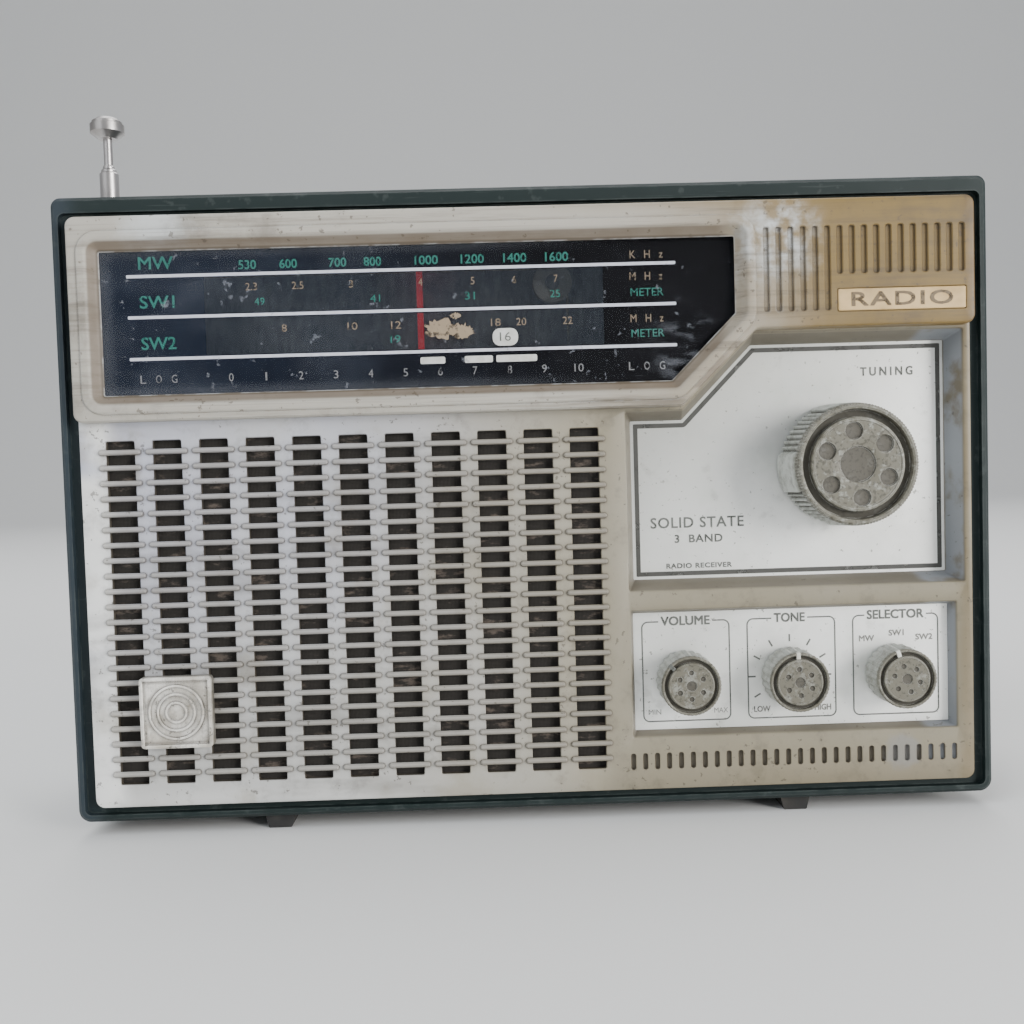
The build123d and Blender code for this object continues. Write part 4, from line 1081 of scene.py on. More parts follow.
# ------------------------------------------------------------------------------ front panel
@dataclass
class FrontPanel:
    """The silver moulding: slotted grille, two wells with sloped walls, louvres and window."""

    width: float = 290.0
    height: float = 190.6
    thick: float = 2.5
    slots: int = 11
    slot_pitch: float = 15.0
    slot_w: float = 9.3
    slot_x: float = -132.0
    slot_h: Point = (-87.9, 24.3)
    bars: int = 22
    bar_pitch: float = 5.0
    bar_top: float = 20.7
    bar_r: float = 0.95
    bar_len: float = 13.8
    bar_d: float = -0.2
    louvres: int = 28
    louvre_pitch: float = 3.95
    louvre_x: float = 31.6
    louvre_h: Point = (-88.7, -83.3)
    tuning_well: tuple[Point, ...] = ((34.2, -26.9), (139.9, -26.9), (139.9, 50.7), (75.1, 50.7),
                                      (51.6, 26.5), (34.2, 26.5))
    tuning_slope: float = 2.9
    control_slope: float = 1.4
    window: tuple[Point, ...] = ((-135.2, 38.8), (46.8, 38.8), (67.7, 59.8), (67.7, 84.3),
                                 (-135.2, 84.3))
    spindle_r: float = 5.1
    shaft_r: float = 3.8

    def slot_outlines(self) -> Iterator[Outline]:
        """The upright slots of the grille.

        Returns:
            The outlines, from left to right.
        """
        for k in range(self.slots):
            x = self.slot_x + self.slot_pitch * k
            yield Outline.box(x - self.slot_w / 2, x + self.slot_w / 2, *self.slot_h, 0.5, 2)

    def louvre_outlines(self) -> Iterator[Outline]:
        """The short decorative grooves under the controls.

        Returns:
            The outlines, from left to right.
        """
        for k in range(self.louvres):
            x = self.louvre_x + self.louvre_pitch * k
            yield Outline.box(x - 0.8, x + 0.8, *self.louvre_h, 0.7, 3)

    def control_well(self) -> Outline:
        """The floor of the control well."""
        corners = ((33.0, -76.7), (138.4, -76.7), (138.4, -37.3), (33.0, -37.3))
        return Outline(corners, 0.6, 3, True)

    def build(self) -> None:
        """Make the moulding and its bars."""
        s = Shaper()
        self.grille_bars(s)
        self.moulding(s)
        s.finish("front_moulding", PANEL, Body.CABINET, Slot.PANEL, ["front_panel"], 34.0)

    def moulding(self, s: Shaper) -> None:
        """The plate, its openings and the backs of the wells, as one closed shell.

        Args:
            s: The moulding under construction.
        """
        rim = Outline.box(-self.width / 2, self.width / 2, -self.height / 2, self.height / 2, 3.0, 5)
        outer = s.profile(rim, [(0.5, 0.0), (0.15, 0.15), (0.0, 0.5), (0.0, self.thick)], False)
        front, back = [outer[0]], [outer[-1]]
        for slot in self.slot_outlines():
            lip = s.profile(slot, [(-0.25, 0.0), (0.0, 0.25), (0.0, self.thick)], False)
            front.append(lip[0])
            back.append(lip[-1])
        for louvre in self.louvre_outlines():
            groove = s.profile(louvre, [(-0.15, 0.0), (0.0, 0.15), (0.05, 1.2)], False)
            front.append(groove[0])
            s.cap(groove[-1])
        opening = s.profile(Outline(self.window, 0.6), [(0.0, 0.0), (0.0, self.thick)], False)
        front.append(opening[0])
        back.append(opening[-1])
        spindle = circle(TUNING_X, TUNING_H, self.spindle_r)
        self.well(s, Outline(self.tuning_well, 0.7, 3, True), TUNING_PLATE_D, self.tuning_slope, 0.6,
                  [spindle], front, back)
        shafts = [circle(x, CONTROL_H, self.shaft_r, 24) for x in (VOLUME_X, TONE_X, SELECTOR_X)]
        self.well(s, self.control_well(), CONTROL_PLATE_D, self.control_slope, 1.2, shafts, front, back)
        s.fill(*front)
        s.fill(*back)

    def well(self, s: Shaper, floor: Outline, depth: float, slope: float, wall: float,
             holes: Sequence[list[Point]], front: list[Ring], back: list[Ring]) -> None:
        """A recess with sloped walls, and the back of its shell.

        Args:
            s: The moulding under construction.
            floor: The outline of the recess's floor.
            depth: How deep the printed plate's face lies.
            slope: How much wider the mouth is than the floor, each side.
            wall: The wall's thickness beyond the mouth.
            holes: The holes in the floor.
            front: The rings that bound the front face, added to.
            back: The rings that bound the back face, added to.
        """
        seat, rear = depth + 1.0, depth + 2.5
        inner = s.profile(floor, [(-slope - 0.3, 0.0), (-slope + 0.1, 0.3), (0.0, depth - 0.4),
                                  (0.0, seat)], False)
        shell = s.profile(floor, [(-slope - wall, self.thick), (-slope - wall, rear)], False)
        rings = [(s.ring(hole, seat), s.ring(hole, rear)) for hole in holes]
        for pair in rings:
            s.wall(pair)
        s.fill(inner[-1], *(near for near, _ in rings))
        s.fill(shell[-1], *(far for _, far in rings))
        front.append(inner[0])
        back.append(shell[0])

    def grille_bars(self, s: Shaper) -> None:
        """Short round-ended bars across every slot, proud of the strips between.

        Args:
            s: The moulding under construction, still empty.
        """
        reach = self.bar_len / 2 - self.bar_r
        first = bmesh.ops.create_uvsphere(s.bm, u_segments=10, v_segments=5, radius=self.bar_r)["verts"]
        s.turn(first, Matrix.Rotation(math.pi / 2, 4, "Y"))
        for v in first:
            v.co.x += math.copysign(reach, v.co.x)
        faces = list({face for v in first for face in v.link_faces})
        for column in range(self.slots):
            for row in range(self.bars):
                if column == row == 0:
                    continue
                copy = bmesh.ops.duplicate(s.bm, geom=faces)["geom"]
                verts = [g for g in copy if isinstance(g, bmesh.types.BMVert)]
                s.turn(verts, Matrix.Translation((self.slot_pitch * column, 0, -self.bar_pitch * row)))
        s.turn(list(s.bm.verts), Matrix.Translation((self.slot_x, self.bar_d, self.bar_top)))


# ------------------------------------------------------------------------------ dial
@dataclass
class Dial:
    """The bezel, the window with its printed film, and what is stuck on the glass."""

    outline: tuple[Point, ...] = ((-144.7, 30.3), (49.7, 30.3), (74.0, 54.3), (144.7, 54.3),
                                  (144.7, 95.3), (-144.7, 95.3))
    window: tuple[Point, ...] = FrontPanel.window
    ledge_d: float = -5.2
    face_d: float = -6.0
    ribs: int = 17
    rib_pitch: float = 3.93
    rib_x: float = 77.3
    film_d: float = -0.30

    def build(self) -> None:
        """Make every piece of the dial."""
        self.bezel()
        self.badge()
        self.glass()
        self.film()
        self.print()
        self.leftovers()

    def bezel(self) -> None:
        """The frame: a rounded skirt, a flat ledge with ribs, and a raised bead round the window."""
        s = Shaper()
        skirt = s.profile(Outline(self.outline, 3.0, 6), [
            (0.0, 0.0), (0.0, -3.9), (0.15, -4.5), (0.6, -5.0), (1.3, self.ledge_d)], False)
        pane = Outline(self.window, 0.5, 6)
        bead = s.profile(pane, [(-6.3, self.ledge_d), (-6.1, -5.6), (-5.7, -5.9), (-5.2, self.face_d + 0.04),
                                (-4.0, self.face_d), (-3.5, -5.85), (-3.0, -5.4), (-1.6, -3.6),
                                (-0.5, -2.5), (0.0, -2.12), (-1.9, -2.02), (-1.9, 0.0)], False)
        holes = [bead[0]]
        for k in range(self.ribs):
            x = self.rib_x + self.rib_pitch * k
            low = 59.5 if k < 6 else 71.0
            groove = s.profile(Outline.box(x - 0.9, x + 0.9, low, 86.3, 0.6, 3), [
                (-0.25, self.ledge_d), (0.05, self.ledge_d + 0.3), (0.15, self.ledge_d + 0.9)], False)
            holes.append(groove[0])
            s.cap(groove[-1])
        tray = s.profile(Outline.box(100.0, 141.5, 59.0, 66.3, 0.4, 2), [
            (-0.2, self.ledge_d), (0.0, self.ledge_d + 0.15), (0.0, self.ledge_d + 0.6)], False)
        s.cap(tray[-1])
        s.fill(skirt[-1], *holes, tray[0])
        s.fill(skirt[0], bead[-1])
        s.finish("bezel_moulding", BEZEL, Body.CABINET, Slot.BEZEL, ["dial_bezel"], 26.0)

    def badge(self) -> None:
        """The cream badge with a generic word in worn letters."""
        s = Shaper()
        top = self.ledge_d - 0.25
        s.profile(Outline.box(100.2, 141.3, 59.2, 66.1, 0.4, 2), [
            (0.0, self.ledge_d + 0.5), (0.0, top + 0.2), (0.25, top)])
        s.finish("badge_plate", BADGE_CREAM, Body.CABINET, Slot.BADGE, ["nameplate_badge"])
        s = Shaper()
        s.text("RADIO", 104.5, 137.0, 60.6, 64.9, top, bold=0.14, spacing=1.15)
        s.finish("badge_word", BADGE_INK, Body.CABINET, Slot.BADGE)

    def glass(self) -> None:
        """The clear window."""
        s = Shaper()
        s.profile(Outline(self.window, 0.5), [(-1.7, -0.4), (-1.7, -1.9), (-1.6, -1.98)])
        s.finish("window_pane", ACRYLIC, Body.CABINET, Slot.WINDOW, ["dial_window"])

    def film(self) -> None:
        """The black print behind the window, with two smoky clear bands for the pointer."""
        bands = [Outline.box(-102.8, 25.4, low, low + 11.7, 0.3, 2) for low in (64.4, 51.2)]
        s = Shaper()
        edge = s.profile(Outline(self.window, 0.5), [(-1.6, self.film_d), (-1.6, -0.1)], False)
        sides = [s.profile(band, [(0.0, self.film_d), (0.0, -0.1)], False) for band in bands]
        s.fill(edge[0], *(side[0] for side in sides))
        s.fill(edge[1], *(side[1] for side in sides))
        s.finish("dial_film", FILM, Body.CABINET, Slot.WINDOW, ["dial_window"])
        s = Shaper()
        for band in bands:
            s.profile(band, [(0.01, self.film_d + 0.02), (0.01, -0.12)])
        s.finish("dial_clear_bands", FILM_CLEAR, Body.CABINET, Slot.WINDOW, ["dial_window"])

    def print(self) -> None:
        """Scale lines, band names and numbers, printed on the film."""
        top = self.film_d
        s = Shaper()
        for h in (50.4, 63.7, 76.8):
            s.profile(Outline.box(-127.4, 49.0, h - 0.5, h + 0.5, 0.2, 2), [(0, top), (0, top - INK_T)])
        s.finish("dial_lines", LINE_WHITE, Body.CABINET, Slot.WINDOW)
        green, cream, pale = Shaper(), Shaper(), Shaper()
        for word, h in (("MW", 79.0), ("SW1", 66.6), ("SW2", 53.4)):
            green.text(word, -123.4, -112.4, h, h + 3.9, top, bold=0.06)
        self.row(green, "530 600 700 800 1000 1200 1400 1600",
                 (-88.7, -75.6, -59.8, -48.6, -31.3, -16.5, -2.8, 10.7), 0.92, 78.3, 81.1, 0.06)
        for ink, words, h in ((cream, "K   H   z", 78.5), (green, "METER", 66.4), (green, "METER", 53.2)):
            ink.text(words, 34.3, 45.0, h, h + 2.5, top)
        self.row(green, "49 41 31 25", (-85.2, -48.1, -17.6, 9.9), 0.8, 66.7, 69.1)
        self.row(green, "19", (-42.0,), 0.8, 53.5, 55.9)
        self.row(cream, "2.3 2.5 3 4 5 6 7", (-87.7, -72.8, -55.7, -33.4, -16.6, -3.2, 10.2),
                 0.62, 71.5, 73.9)
        self.row(cream, "8 10 12 18 20 22", (-77.6, -55.7, -41.7, -9.5, -1.3, 13.7), 0.8, 58.0, 60.4)
        for h in (71.5, 58.0):
            cream.text("M   H   z", 34.1, 44.8, h, h + 2.5, top)
        for x in (-123.4, 34.1):
            for k, letter in enumerate("LOG"):
                pale.text(letter, x + 5.0 * k - 0.9, x + 5.0 * k + 0.9, 42.6, 45.2, top)
        for k in range(11):
            x = -95.2 + 11.22 * k
            half = 0.28 if k == 1 else 0.75 * len(str(k))
            pale.text(str(k), x - half, x + half, 42.6, 45.2, top)
        green.finish("dial_green_print", DIAL_GREEN, Body.CABINET, Slot.WINDOW)
        cream.finish("dial_cream_print", DIAL_CREAM, Body.CABINET, Slot.WINDOW)
        pale.finish("dial_pale_print", DIAL_PALE, Body.CABINET, Slot.WINDOW)

    def row(self, ink: Shaper, words: str, places: Sequence[float], half: float, h0: float, h1: float,
            bold: float = 0.0) -> None:
        """A row of numbers, each centred on its place along the scale.

        Args:
            ink: The print that they go into.
            words: The numbers, with spaces between.
            places: Where each one's middle is.
            half: Half the width of one character.
            h0: Baseline.
            h1: Top.
            bold: How far the strokes are thickened each way.
        """
        for word, x in zip(words.split(), places):
            reach = half * len(word)
            ink.text(word, x - reach, x + reach, h0, h1, self.film_d, bold=bold)

    def leftovers(self) -> None:
        """What owners left on the glass: a numbered sticker, torn paper and three pale strips."""
        top = -2.0
        s = Shaper()
        s.profile(Outline.box(-10.7, -2.5, 51.4, 57.0, 2.4, 5), [
            (0, top + 0.02), (0, top - 0.1), (0.15, top - 0.16)])
        for x0, x1 in ((-34.2, -26.2), (-19.9, -10.8), (-9.7, 3.5)):
            s.profile(Outline.box(x0, x1, 46.4, 48.6, 0.5, 3), [(0, -0.3), (0, -0.38)])
        s.finish("paper_sticker", STICKER, Body.CABINET, Slot.WINDOW)
        s = Shaper()
        s.text("16", -8.4, -4.8, 52.9, 55.7, top - 0.16)
        s.finish("sticker_number", DARK_INK, Body.CABINET, Slot.WINDOW)
        chance = random.Random(16)
        s = Shaper()
        shreds = ((-27.2, 57.2, 5.2, 3.4), (-20.5, 56.4, 4.0, 2.6), (-22.5, 61.4, 1.8, 1.0))
        for layer, (x, h, wide, tall) in enumerate(shreds):
            torn = [(x + px * wide * chance.uniform(0.72, 1.15), h + ph * tall * chance.uniform(0.6, 1.2))
                    for px, ph in circle(0.0, 0.0, 1.0, 40)]
            s.solid(torn, top + 0.02 + 0.01 * layer, top - 0.1 - 0.04 * layer)
        s.finish("paper_residue", RESIDUE, Body.CABINET, Slot.WINDOW)


# ------------------------------------------------------------------------------ plates
@dataclass
class PlatePrint:
    """The lines and words printed on the two aluminium plates."""

    line: float = 0.45
    border: tuple[Point, ...] = ((35.3, -25.8), (138.8, -25.8), (138.8, 49.6), (75.5, 49.6),
                                 (52.0, 25.4), (35.3, 25.4))

    def build(self) -> None:
        """Print both plates."""
        self.tuning()
        self.controls()

    def tuning(self) -> None:
        """Black border line, the knob's name and three generic lines of words."""
        d = TUNING_PLATE_D
        s = Shaper()
        s.stroke(Outline(self.border, 0.3, 2), d, 1.5)
        s.finish("tuning_border", BORDER_INK, Body.CABINET, Slot.PLATE)
        s = Shaper()
        s.text("TUNING", 112.1, 129.6, 39.4, 42.2, d, bold=0.09, spacing=1.5)
        s.text("SOLID STATE", 40.5, 71.8, -9.7, -6.2, d, bold=0.07, spacing=1.1)
        s.text("3  BAND", 48.5, 64.5, -14.7, -12.1, d, bold=0.08, spacing=1.1)
        s.text("RADIO RECEIVER", 45.5, 67.5, -23.3, -21.7, d, bold=0.07, spacing=1.1)
        s.finish("tuning_words", DARK_INK, Body.CABINET, Slot.PLATE)

    def controls(self) -> None:
        """Three rounded frames, broken at the top by each control's name, and the marks inside."""
        d = CONTROL_PLATE_D
        s, words, faint = Shaper(), Shaper(), Shaper()
        low, high = -74.1, -40.3
        frames = ((35.75, 65.3, "VOLUME", 42.4, 58.6), (70.9, 100.7, "TONE", 80.2, 90.4),
                  (106.3, 135.3, "SELECTOR", 111.4, 130.3))
        for x0, x1, name, t0, t1 in frames:
            self.open_frame(s, x0, x1, low, high, t0 - 0.9, t1 + 0.9)
            words.text(name, t0, t1, high - 1.5, high + 1.4, d, bold=0.11)
        marks = (("MW", 108.6, 113.6, -49.2, -47.3, 0.06), ("SW1", 118.6, 123.6, -47.6, -45.7, 0.06),
                 ("SW2", 127.6, 133.2, -49.2, -47.3, 0.06), ("LOW", 73.0, 78.4, -71.8, -69.9, 0.07),
                 ("HIGH", 93.4, 98.8, -71.8, -69.9, 0.07), ("MIN", 37.6, 41.8, -71.6, -69.9, 0.0),
                 ("MAX", 59.6, 64.2, -71.6, -69.9, 0.0))
        for name, x0, x1, h0, h1, bold in marks:
            faint.text(name, x0, x1, h0, h1, d, bold=bold)
        for k in range(9):
            angle = math.radians(210 - 30 * k)
            tick = s.block(11.5, 13.9, d - INK_T, d, -0.27, 0.27)
            s.turn(tick, Matrix.Translation((TONE_X, 0, CONTROL_H)) @ Matrix.Rotation(-angle, 4, "Y"))
        s.finish("control_frames", DARK_INK, Body.CABINET, Slot.PLATE)
        words.finish("control_names", DARK_INK, Body.CABINET, Slot.PLATE)
        faint.finish("control_marks", FAINT_INK, Body.CABINET, Slot.PLATE)

    def open_frame(self, s: Shaper, x0: float, x1: float, h0: float, h1: float, gap0: float,
                   gap1: float) -> None:
        """A rounded frame with a gap in its top side, as one closed strip.

        Args:
            s: The print under construction.
            x0: Left side.
            x1: Right side.
            h0: Bottom.
            h1: Top.
            gap0: The gap's left end.
            gap1: The gap's right end.
        """
        outline = Outline.box(x0, x1, h0, h1, 2.2, 6)
        far = self.path(outline.loop(0.0), gap0, gap1, h1)
        near = self.path(outline.loop(self.line), gap0, gap1, h1 - self.line)
        s.solid(far + near[::-1], CONTROL_PLATE_D, CONTROL_PLATE_D - INK_T)

    def path(self, loop: list[Point], gap0: float, gap1: float, top: float) -> list[Point]:
        """An open run round a loop, from the gap's left end down, along and up to its right end."""
        start = next(k for k, (x, h) in enumerate(loop) if h > top - 1e-4 and x < gap0)
        return [(gap0, top)] + loop[start:] + loop[:start] + [(gap1, top)]


# ------------------------------------------------------------------------------ knobs
@dataclass
class Knob:
    """A knob: fluted barrel, knurled rim, deep ring, dimpled disc."""

    name: str
    body: Body
    x: float
    h: float
    radius: float
    face_d: float
    back_d: float
    teeth: int
    finish: Finish
    node: str
    pads: int = 0
    dimple_start: float = 36.0
    dimple_r: float = 3.0
    centre_r: float = 6.2
    dimple_ring: float = 10.7
    mark: float | None = None
    mark_finish: Finish | None = None
    smooth_r: float = 18.6
    pad_turn: float = 8.0
    pad_half: float = 19.0
    pad_rise: float = 0.45

    def build(self) -> None:
        """Make the knob and its mark."""
        k = self.radius / BIG_RADIUS
        s = Shaper()
        self.barrel(s, k)
        self.disc(s, k)
        s.finish(f"{self.name}_moulding", self.finish, self.body, Slot.KNOB, [self.node], 30.0)
        if self.mark is not None:
            self.pointer_mark(k)

    def barrel(self, s: Shaper, k: float) -> None:
        """The barrel and rim, turned in one piece; its flutes are pressed in afterwards.

        Args:
            s: The knob under construction.
            k: The knob's size against the large one.
        """
        r, f, b = self.radius, self.face_d, self.back_d
        section = [(15.0 * k, f + 2.6 * k), (17.3 * k, f + 2.6 * k), (17.5 * k, f + 1.0 * k),
                   (17.7 * k, f + 0.35 * k), (18.3 * k, f + 0.05 * k), (18.9 * k, f + 0.15 * k),
                   (19.35 * k, f + 0.6 * k), (19.5 * k, f + 1.6 * k), (19.4 * k, f + 3.2 * k),
                   (19.0 * k, f + 3.9 * k), (19.3 * k, f + 4.6 * k), (19.5 * k, (f + b) / 2),
                   (r - 0.1 * k, b - 1.2 * k), (r - 0.2 * k, b - 0.3 * k), (r - 0.6 * k, b),
                   (0.45 * r, b)]
        steps = self.teeth * 4
        verts = s.lathe(section, self.x, self.h, steps)
        for v in verts:
            dx, dh = v.co.x - self.x, v.co.z - self.h
            reach = math.hypot(dx, dh)
            if reach < self.smooth_r * k:
                continue
            step = round(math.degrees(math.atan2(dh, dx)) / 360.0 * steps) % steps
            on_rim = v.co.y < f + 3.6 * k
            depth = self.flute(step, steps, on_rim) * k
            v.co.x -= dx / reach * depth
            v.co.z -= dh / reach * depth

    def flute(self, step: int, steps: int, on_rim: bool) -> float:
        """How far the surface is pressed in at one step round the barrel.

        Args:
            step: The step, counted from the right.
            steps: Steps in a full turn.
            on_rim: Whether the point is on the knurled rim.

        Returns:
            The depth on a knob of the large size.
        """
        if on_rim:
            return 0.28 if step % 2 else 0.0
        angle = 360.0 * step / steps - self.pad_turn
        if self.pads:
            pitch = 360.0 / self.pads
            if abs((angle + pitch / 2) % pitch - pitch / 2) < self.pad_half:
                return -self.pad_rise
        return (0.1, 0.55, 1.1, 0.55)[step % 4]

    def disc(self, s: Shaper, k: float) -> None:
        """The raised inner disc, with a ring of dimples round a larger one.

        Args:
            s: The knob under construction.
            k: The knob's size against the large one.
        """
        f = self.face_d
        edge = [s.ring(circle(self.x, self.h, r * k, 96), f + d * k) for r, d in (
            (15.0, 2.6), (15.0, 0.8), (14.7, 0.3), (14.1, 0.15), (13.6, 0.45))]
        s.wall(edge)
        pits = []
        for n in range(7):
            angle = math.radians(self.dimple_start + 60.0 * n)
            centre = n == 6
            r = (self.centre_r if centre else self.dimple_r) * k
            out = 0.0 if centre else self.dimple_ring * k
            x, h = self.x + out * math.cos(angle), self.h + out * math.sin(angle)
            pit = [s.ring(circle(x, h, r * q, 40 if centre else 28), f + d * k) for q, d in (
                (1.0, 0.45), (0.94, 0.6), (0.9, 1.15), (0.45, 1.3))]
            s.wall(pit)
            s.cap(pit[-1])
            pits.append(pit[0])
        s.fill(edge[-1], *pits)

    def pointer_mark(self, k: float) -> None:
        """The raised mark across the rim that shows the knob's setting.

        Args:
            k: The knob's size against the large one.
        """
        s = Shaper()
        f = self.face_d
        s.block(15.2 * k, 19.7 * k, f + 0.02, f + 2.2 * k, -1.3 * k, 1.3 * k, 0.12)
        swing = Matrix.Rotation(-math.radians(self.mark), 4, "Y")
        s.turn(list(s.bm.verts), Matrix.Translation((self.x, 0, self.h)) @ swing)
        s.finish(f"{self.name}_mark", self.mark_finish, self.body, Slot.KNOB)


# ------------------------------------------------------------------------------ emblem
@dataclass
class Emblem:
    """The square tray badge on the grille, with plain concentric rings."""

    x: float = -116.4
    h: float = -63.6
    size: float = 23.2
    front_d: float = -4.5

    def build(self) -> None:
        """Make the tray and its rings."""
        half = self.size / 2
        edge = Outline.box(self.x - half, self.x + half, self.h - half, self.h + half, 1.4, 5)
        f = self.front_d
        s = Shaper()
        s.profile(edge, [(0.0, -1.0), (0.0, f + 0.5), (0.15, f + 0.12), (0.45, f), (0.95, f + 0.03),
                         (1.2, f + 0.25), (1.35, f + 0.75), (1.7, f + 0.9)])
        for r in (8.6, 5.9, 3.2):
            s.lathe([(r - 0.5, f + 0.95), (r - 0.35, f + 0.6), (r, f + 0.45), (r + 0.35, f + 0.6),
                     (r + 0.5, f + 0.95), (r - 0.5, f + 0.95)], self.x, self.h, 48)
        s.finish("emblem_tray", EMBLEM, Body.CABINET, Slot.EMBLEM, ["grille_emblem"], 30.0)


# ------------------------------------------------------------------------------ back label
@dataclass(frozen=True)
class BackLabel:
    """The aged paper label in the shallow pocket of the back plate."""

    x0: float = 34.4
    x1: float = 117.6
    h0: float = 30.4
    h1: float = 75.6
    floor: float = 74.5
    paper: float = 0.2

    def build(self) -> None:
        """Lay the paper and print it, facing backwards."""
        face = self.floor + self.paper
        s = Shaper()
        edge = Outline.box(self.x0, self.x1, self.h0, self.h1, 1.6, 5)
        s.profile(edge, [(0.1, self.floor), (0.0, self.floor + 0.06), (0.0, face - 0.06), (0.1, face)])
        s.finish("back_label", LABEL_PAPER, Body.CABINET, Slot.CASE)
        s = Shaper()
        rim = Outline.box(self.x0 + 2.2, self.x1 - 2.2, self.h0 + 2.2, self.h1 - 2.2, 0.8, 3)
        s.stroke(rim, face, 0.5)
        for h in (63.0, 51.5, 40.5):
            s.block(self.x0 + 5.0, self.x1 - 5.0, face - INK_T, face, h, h + 0.3)
        s.text("RADIO RECEIVER", 50.0, 102.0, 65.6, 70.0, face, bold=0.12, spacing=1.1)
        s.text("3 BAND", 64.0, 88.0, 55.2, 58.6, face, bold=0.09, spacing=1.1)
        s.text("MW   SW1   SW2", 53.0, 99.0, 44.0, 47.4, face, bold=0.09, spacing=1.1)
        s.text("BATTERY  DC", 60.0, 92.0, 34.4, 37.2, face, bold=0.07, spacing=1.1)
        centre = Matrix.Translation(((self.x0 + self.x1) / 2, face, 0.0))
        s.turn(list(s.bm.verts), centre @ Matrix.Rotation(math.pi, 4, "Z") @ centre.inverted())
        s.finish("back_label_print", FAINT_INK, Body.CABINET, Slot.CASE)


# ------------------------------------------------------------------------------ carried-over nodes
@dataclass(frozen=True)
class Dressing:
    """Finishes for the CAD nodes whose shapes stay as they are."""

    plan: tuple[tuple[Finish, tuple[str, ...]], ...] = (
        (CASE, ("cabinet_shell", "rear_cover", "battery_door", "carry_handle")),
        (RUBBER, ("feet",)),
        (STEEL, ("case_screws", "tuning_spindle", "volume_shaft", "tone_shaft", "selector_shaft", "pot_nuts",
                 "dial_chassis", "cord_spring", "pulley_axles", "pointer_rail", "speaker_basket",
                 "speaker_screws", "battery_terminals", "handle_pivots")),
        (PLATE, ("tuning_plate", "control_plate")),
        (CLOTH, ("grille_cloth",)),
        (BRASS, ("tuning_bushing",)),
        (CAN, ("volume_control", "tone_control", "selector_control", "if_transformers")),
        (NYLON, ("dial_drum", "pulley_left", "pulley_right", "pulley_lower")),
        (CORD, ("dial_cord",)),
        (POINTER_RED, ("dial_pointer",)),
        (PHENOLIC, ("main_pcb",)),
        (EPOXY, ("transistors",)),
        (SLEEVE, ("electrolytic_capacitors",)),
        (IRON, ("audio_transformers",)),
        (FERRITE, ("ferrite_rod", "speaker_magnet")),
        (WAX, ("antenna_coils",)),
        (CONE_PAPER, ("speaker_cone",)),
        (INNER, ("gang_capacitor", "ferrite_clips", "battery_tray", "earphone_jack")),
        (CHROME, ("antenna_outer_tube", "antenna_section_1", "antenna_section_2", "antenna_section_3",
                  "antenna_rod", "antenna_bushing")),
    )

    def build(self) -> None:
        """Give every listed node its finish."""
        for finish, names in self.plan:
            for name in names:
                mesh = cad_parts[name].data
                mesh.materials.clear()
                mesh.materials.append(finish.material())
                LOG.info("%s: %s", name, finish.name)


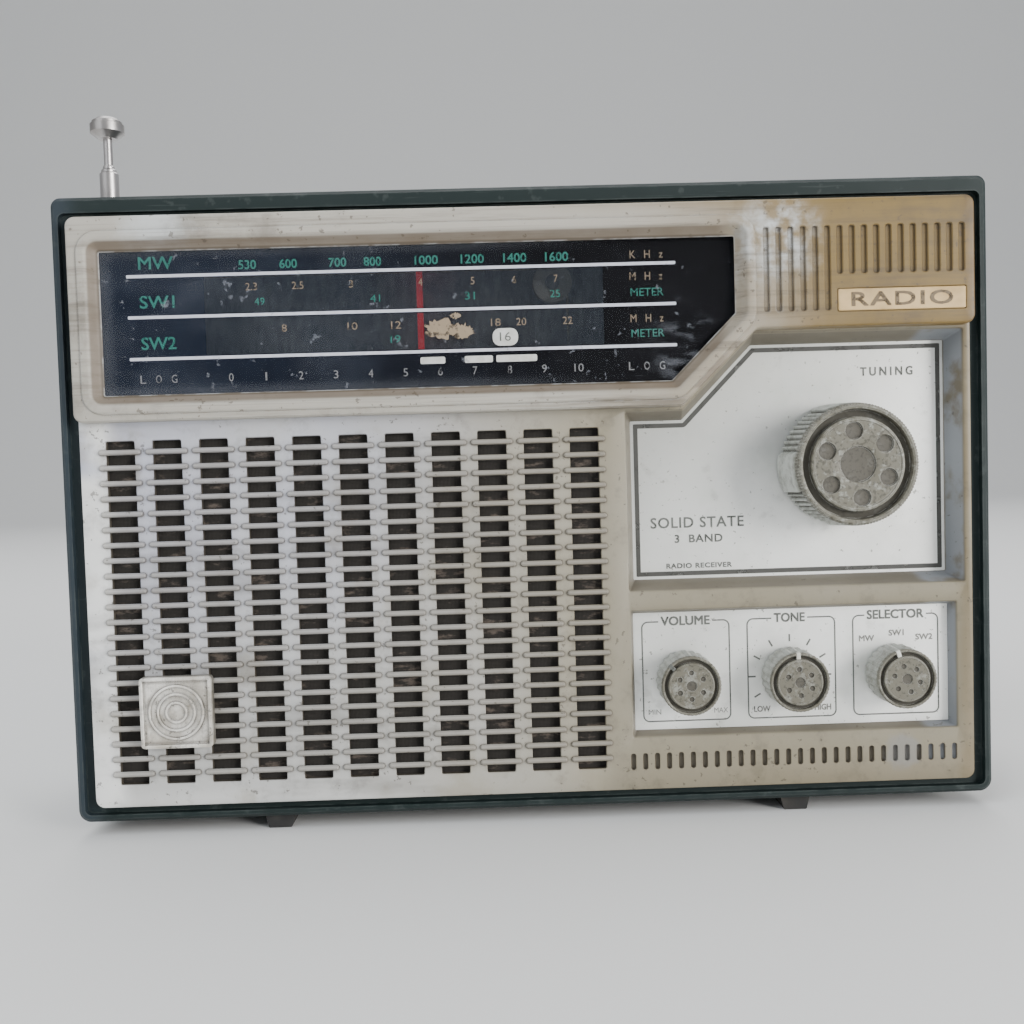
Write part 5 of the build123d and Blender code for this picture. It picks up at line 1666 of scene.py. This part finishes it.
# ------------------------------------------------------------------------------ studio
@dataclass
class Studio:
    """The floor, the lights and the camera."""

    focal: float = 1043.0
    frame_width: float = 1024.0
    pitch: float = 2.403
    yaw: float = 0.996
    roll: float = -1.698
    eye: tuple[float, float, float] = (-12.0, -339.4, 11.96)
    sweep_half: float = 4.0
    sweep_flat: float = 2.5
    sweep_bend: float = 1.2

    def build(self) -> None:
        """Set up the whole studio."""
        self.floor()
        self.lights()
        self.camera()

    def floor(self) -> None:
        """A pale sweep that curves up behind the receiver."""
        bm = bmesh.new()
        half, flat, bend = self.sweep_half, self.sweep_flat, self.sweep_bend
        turns = [math.pi / 2 * k / 12 for k in range(13)]
        section = [(-half, 0.0), *((flat + bend * math.sin(a), bend - bend * math.cos(a)) for a in turns),
                   (flat + bend, half)]
        line = [bm.verts.new((-half, y, z)) for y, z in section]
        edges = [bm.edges.new(pair) for pair in zip(line, line[1:])]
        grown = bmesh.ops.extrude_edge_only(bm, edges=edges)["geom"]
        moved = [g for g in grown if isinstance(g, bmesh.types.BMVert)]
        bmesh.ops.translate(bm, vec=(2 * half, 0, 0), verts=moved)
        mesh = bpy.data.meshes.new("pale_sweep")
        bm.to_mesh(mesh)
        bm.free()
        for face in mesh.polygons:
            face.use_smooth = True
        paper = bpy.data.materials.new("pale_paper")
        paper.use_nodes = True
        shader = paper.node_tree.nodes["Principled BSDF"]
        shader.inputs["Base Color"].default_value = (0.80, 0.80, 0.79, 1.0)
        shader.inputs["Roughness"].default_value = 0.9
        mesh.materials.append(paper)
        sweep = bpy.data.objects.new("pale_sweep", mesh)
        bpy.context.scene.collection.objects.link(sweep)

    def lamp(self, name: str, place: Sequence[float], size: float, power: float, colour: Colour) -> None:
        """A square soft light that looks at the receiver's middle.

        Args:
            name: The light's name.
            place: Where it hangs, in metres.
            size: Its side, in metres.
            power: Its power in watts.
            colour: Its colour.
        """
        data = bpy.data.lights.new(name, "AREA")
        data.size = size
        data.energy = power
        data.color = colour
        lamp = bpy.data.objects.new(name, data)
        lamp.location = place
        lamp.rotation_euler = (Vector((0, 0, 0.1)) - Vector(place)).to_track_quat("-Z", "Y").to_euler()
        bpy.context.scene.collection.objects.link(lamp)

    def lights(self) -> None:
        """A soft key from the right, a broad cool fill from the left and above, and pale air."""
        self.lamp("key", (1.5, -1.3, 0.45), 0.8, 44.0, (1.0, 0.985, 0.96))
        self.lamp("fill", (-1.2, -1.3, 1.7), 1.6, 33.0, (0.92, 0.96, 1.0))
        self.lamp("top", (0.1, 0.9, 2.3), 2.2, 40.0, (1.0, 1.0, 1.0))
        world = bpy.data.worlds.new("pale_air")
        world.use_nodes = True
        air = world.node_tree.nodes["Background"]
        air.inputs["Color"].default_value = (0.85, 0.88, 0.92, 1.0)
        air.inputs["Strength"].default_value = 0.52
        bpy.context.scene.world = world

    def camera(self) -> None:
        """The camera, close to the front and a little above its middle."""
        turn = (Matrix.Rotation(math.radians(self.roll), 3, "Y")
                @ Matrix.Rotation(math.radians(self.pitch), 3, "X")
                @ Matrix.Rotation(math.radians(self.yaw), 3, "Z"))
        right, ahead, up = turn.row
        pose = Matrix((right, up, -ahead)).transposed().to_4x4()
        pose.translation = TO_ROW @ Vector(self.eye)
        data = bpy.data.cameras.new("front_view")
        data.sensor_width = SENSOR
        data.lens = SENSOR * self.focal / self.frame_width
        data.clip_start = 0.01
        camera = bpy.data.objects.new("front_view", data)
        camera.matrix_world = pose
        bpy.context.scene.collection.objects.link(camera)
        bpy.context.scene.camera = camera


def knobs() -> Iterator[Knob]:
    """The four knobs.

    Returns:
        The knobs, from the large one to the selector.
    """
    yield Knob("tuning_knob", Body.TUNING, TUNING_X, TUNING_H, BIG_RADIUS, BIG_FACE, 8.9, 60, KNOB_BIG,
               "tuning_knob", pads=4)
    marks = ((Body.VOLUME, 135.0, DARK_INK, 30.0), (Body.TONE, 93.0, BARREL_WHITE, 33.0),
             (Body.SELECTOR, 108.0, BARREL_WHITE, 45.0))
    for body, mark, mark_finish, start in marks:
        name, plastic = f"{body.value}_knob", KNOB_SMALL[body]
        yield Knob(name, body, plastic.x, CONTROL_H, SMALL_RADIUS, SMALL_FACE, 4.2, 24, plastic, name,
                   dimple_start=start, dimple_r=1.8, centre_r=3.6, dimple_ring=8.6, mark=mark,
                   mark_finish=mark_finish)


def main() -> None:
    """Build the receiver in order and report each piece."""
    logging.basicConfig(level=logging.INFO, format="%(name)s: %(message)s")
    Studio().build()
    Dressing().build()
    FrontPanel().build()
    Dial().build()
    PlatePrint().build()
    Emblem().build()
    BackLabel().build()
    for knob in knobs():
        knob.build()


if __name__ == "__main__":
    main()
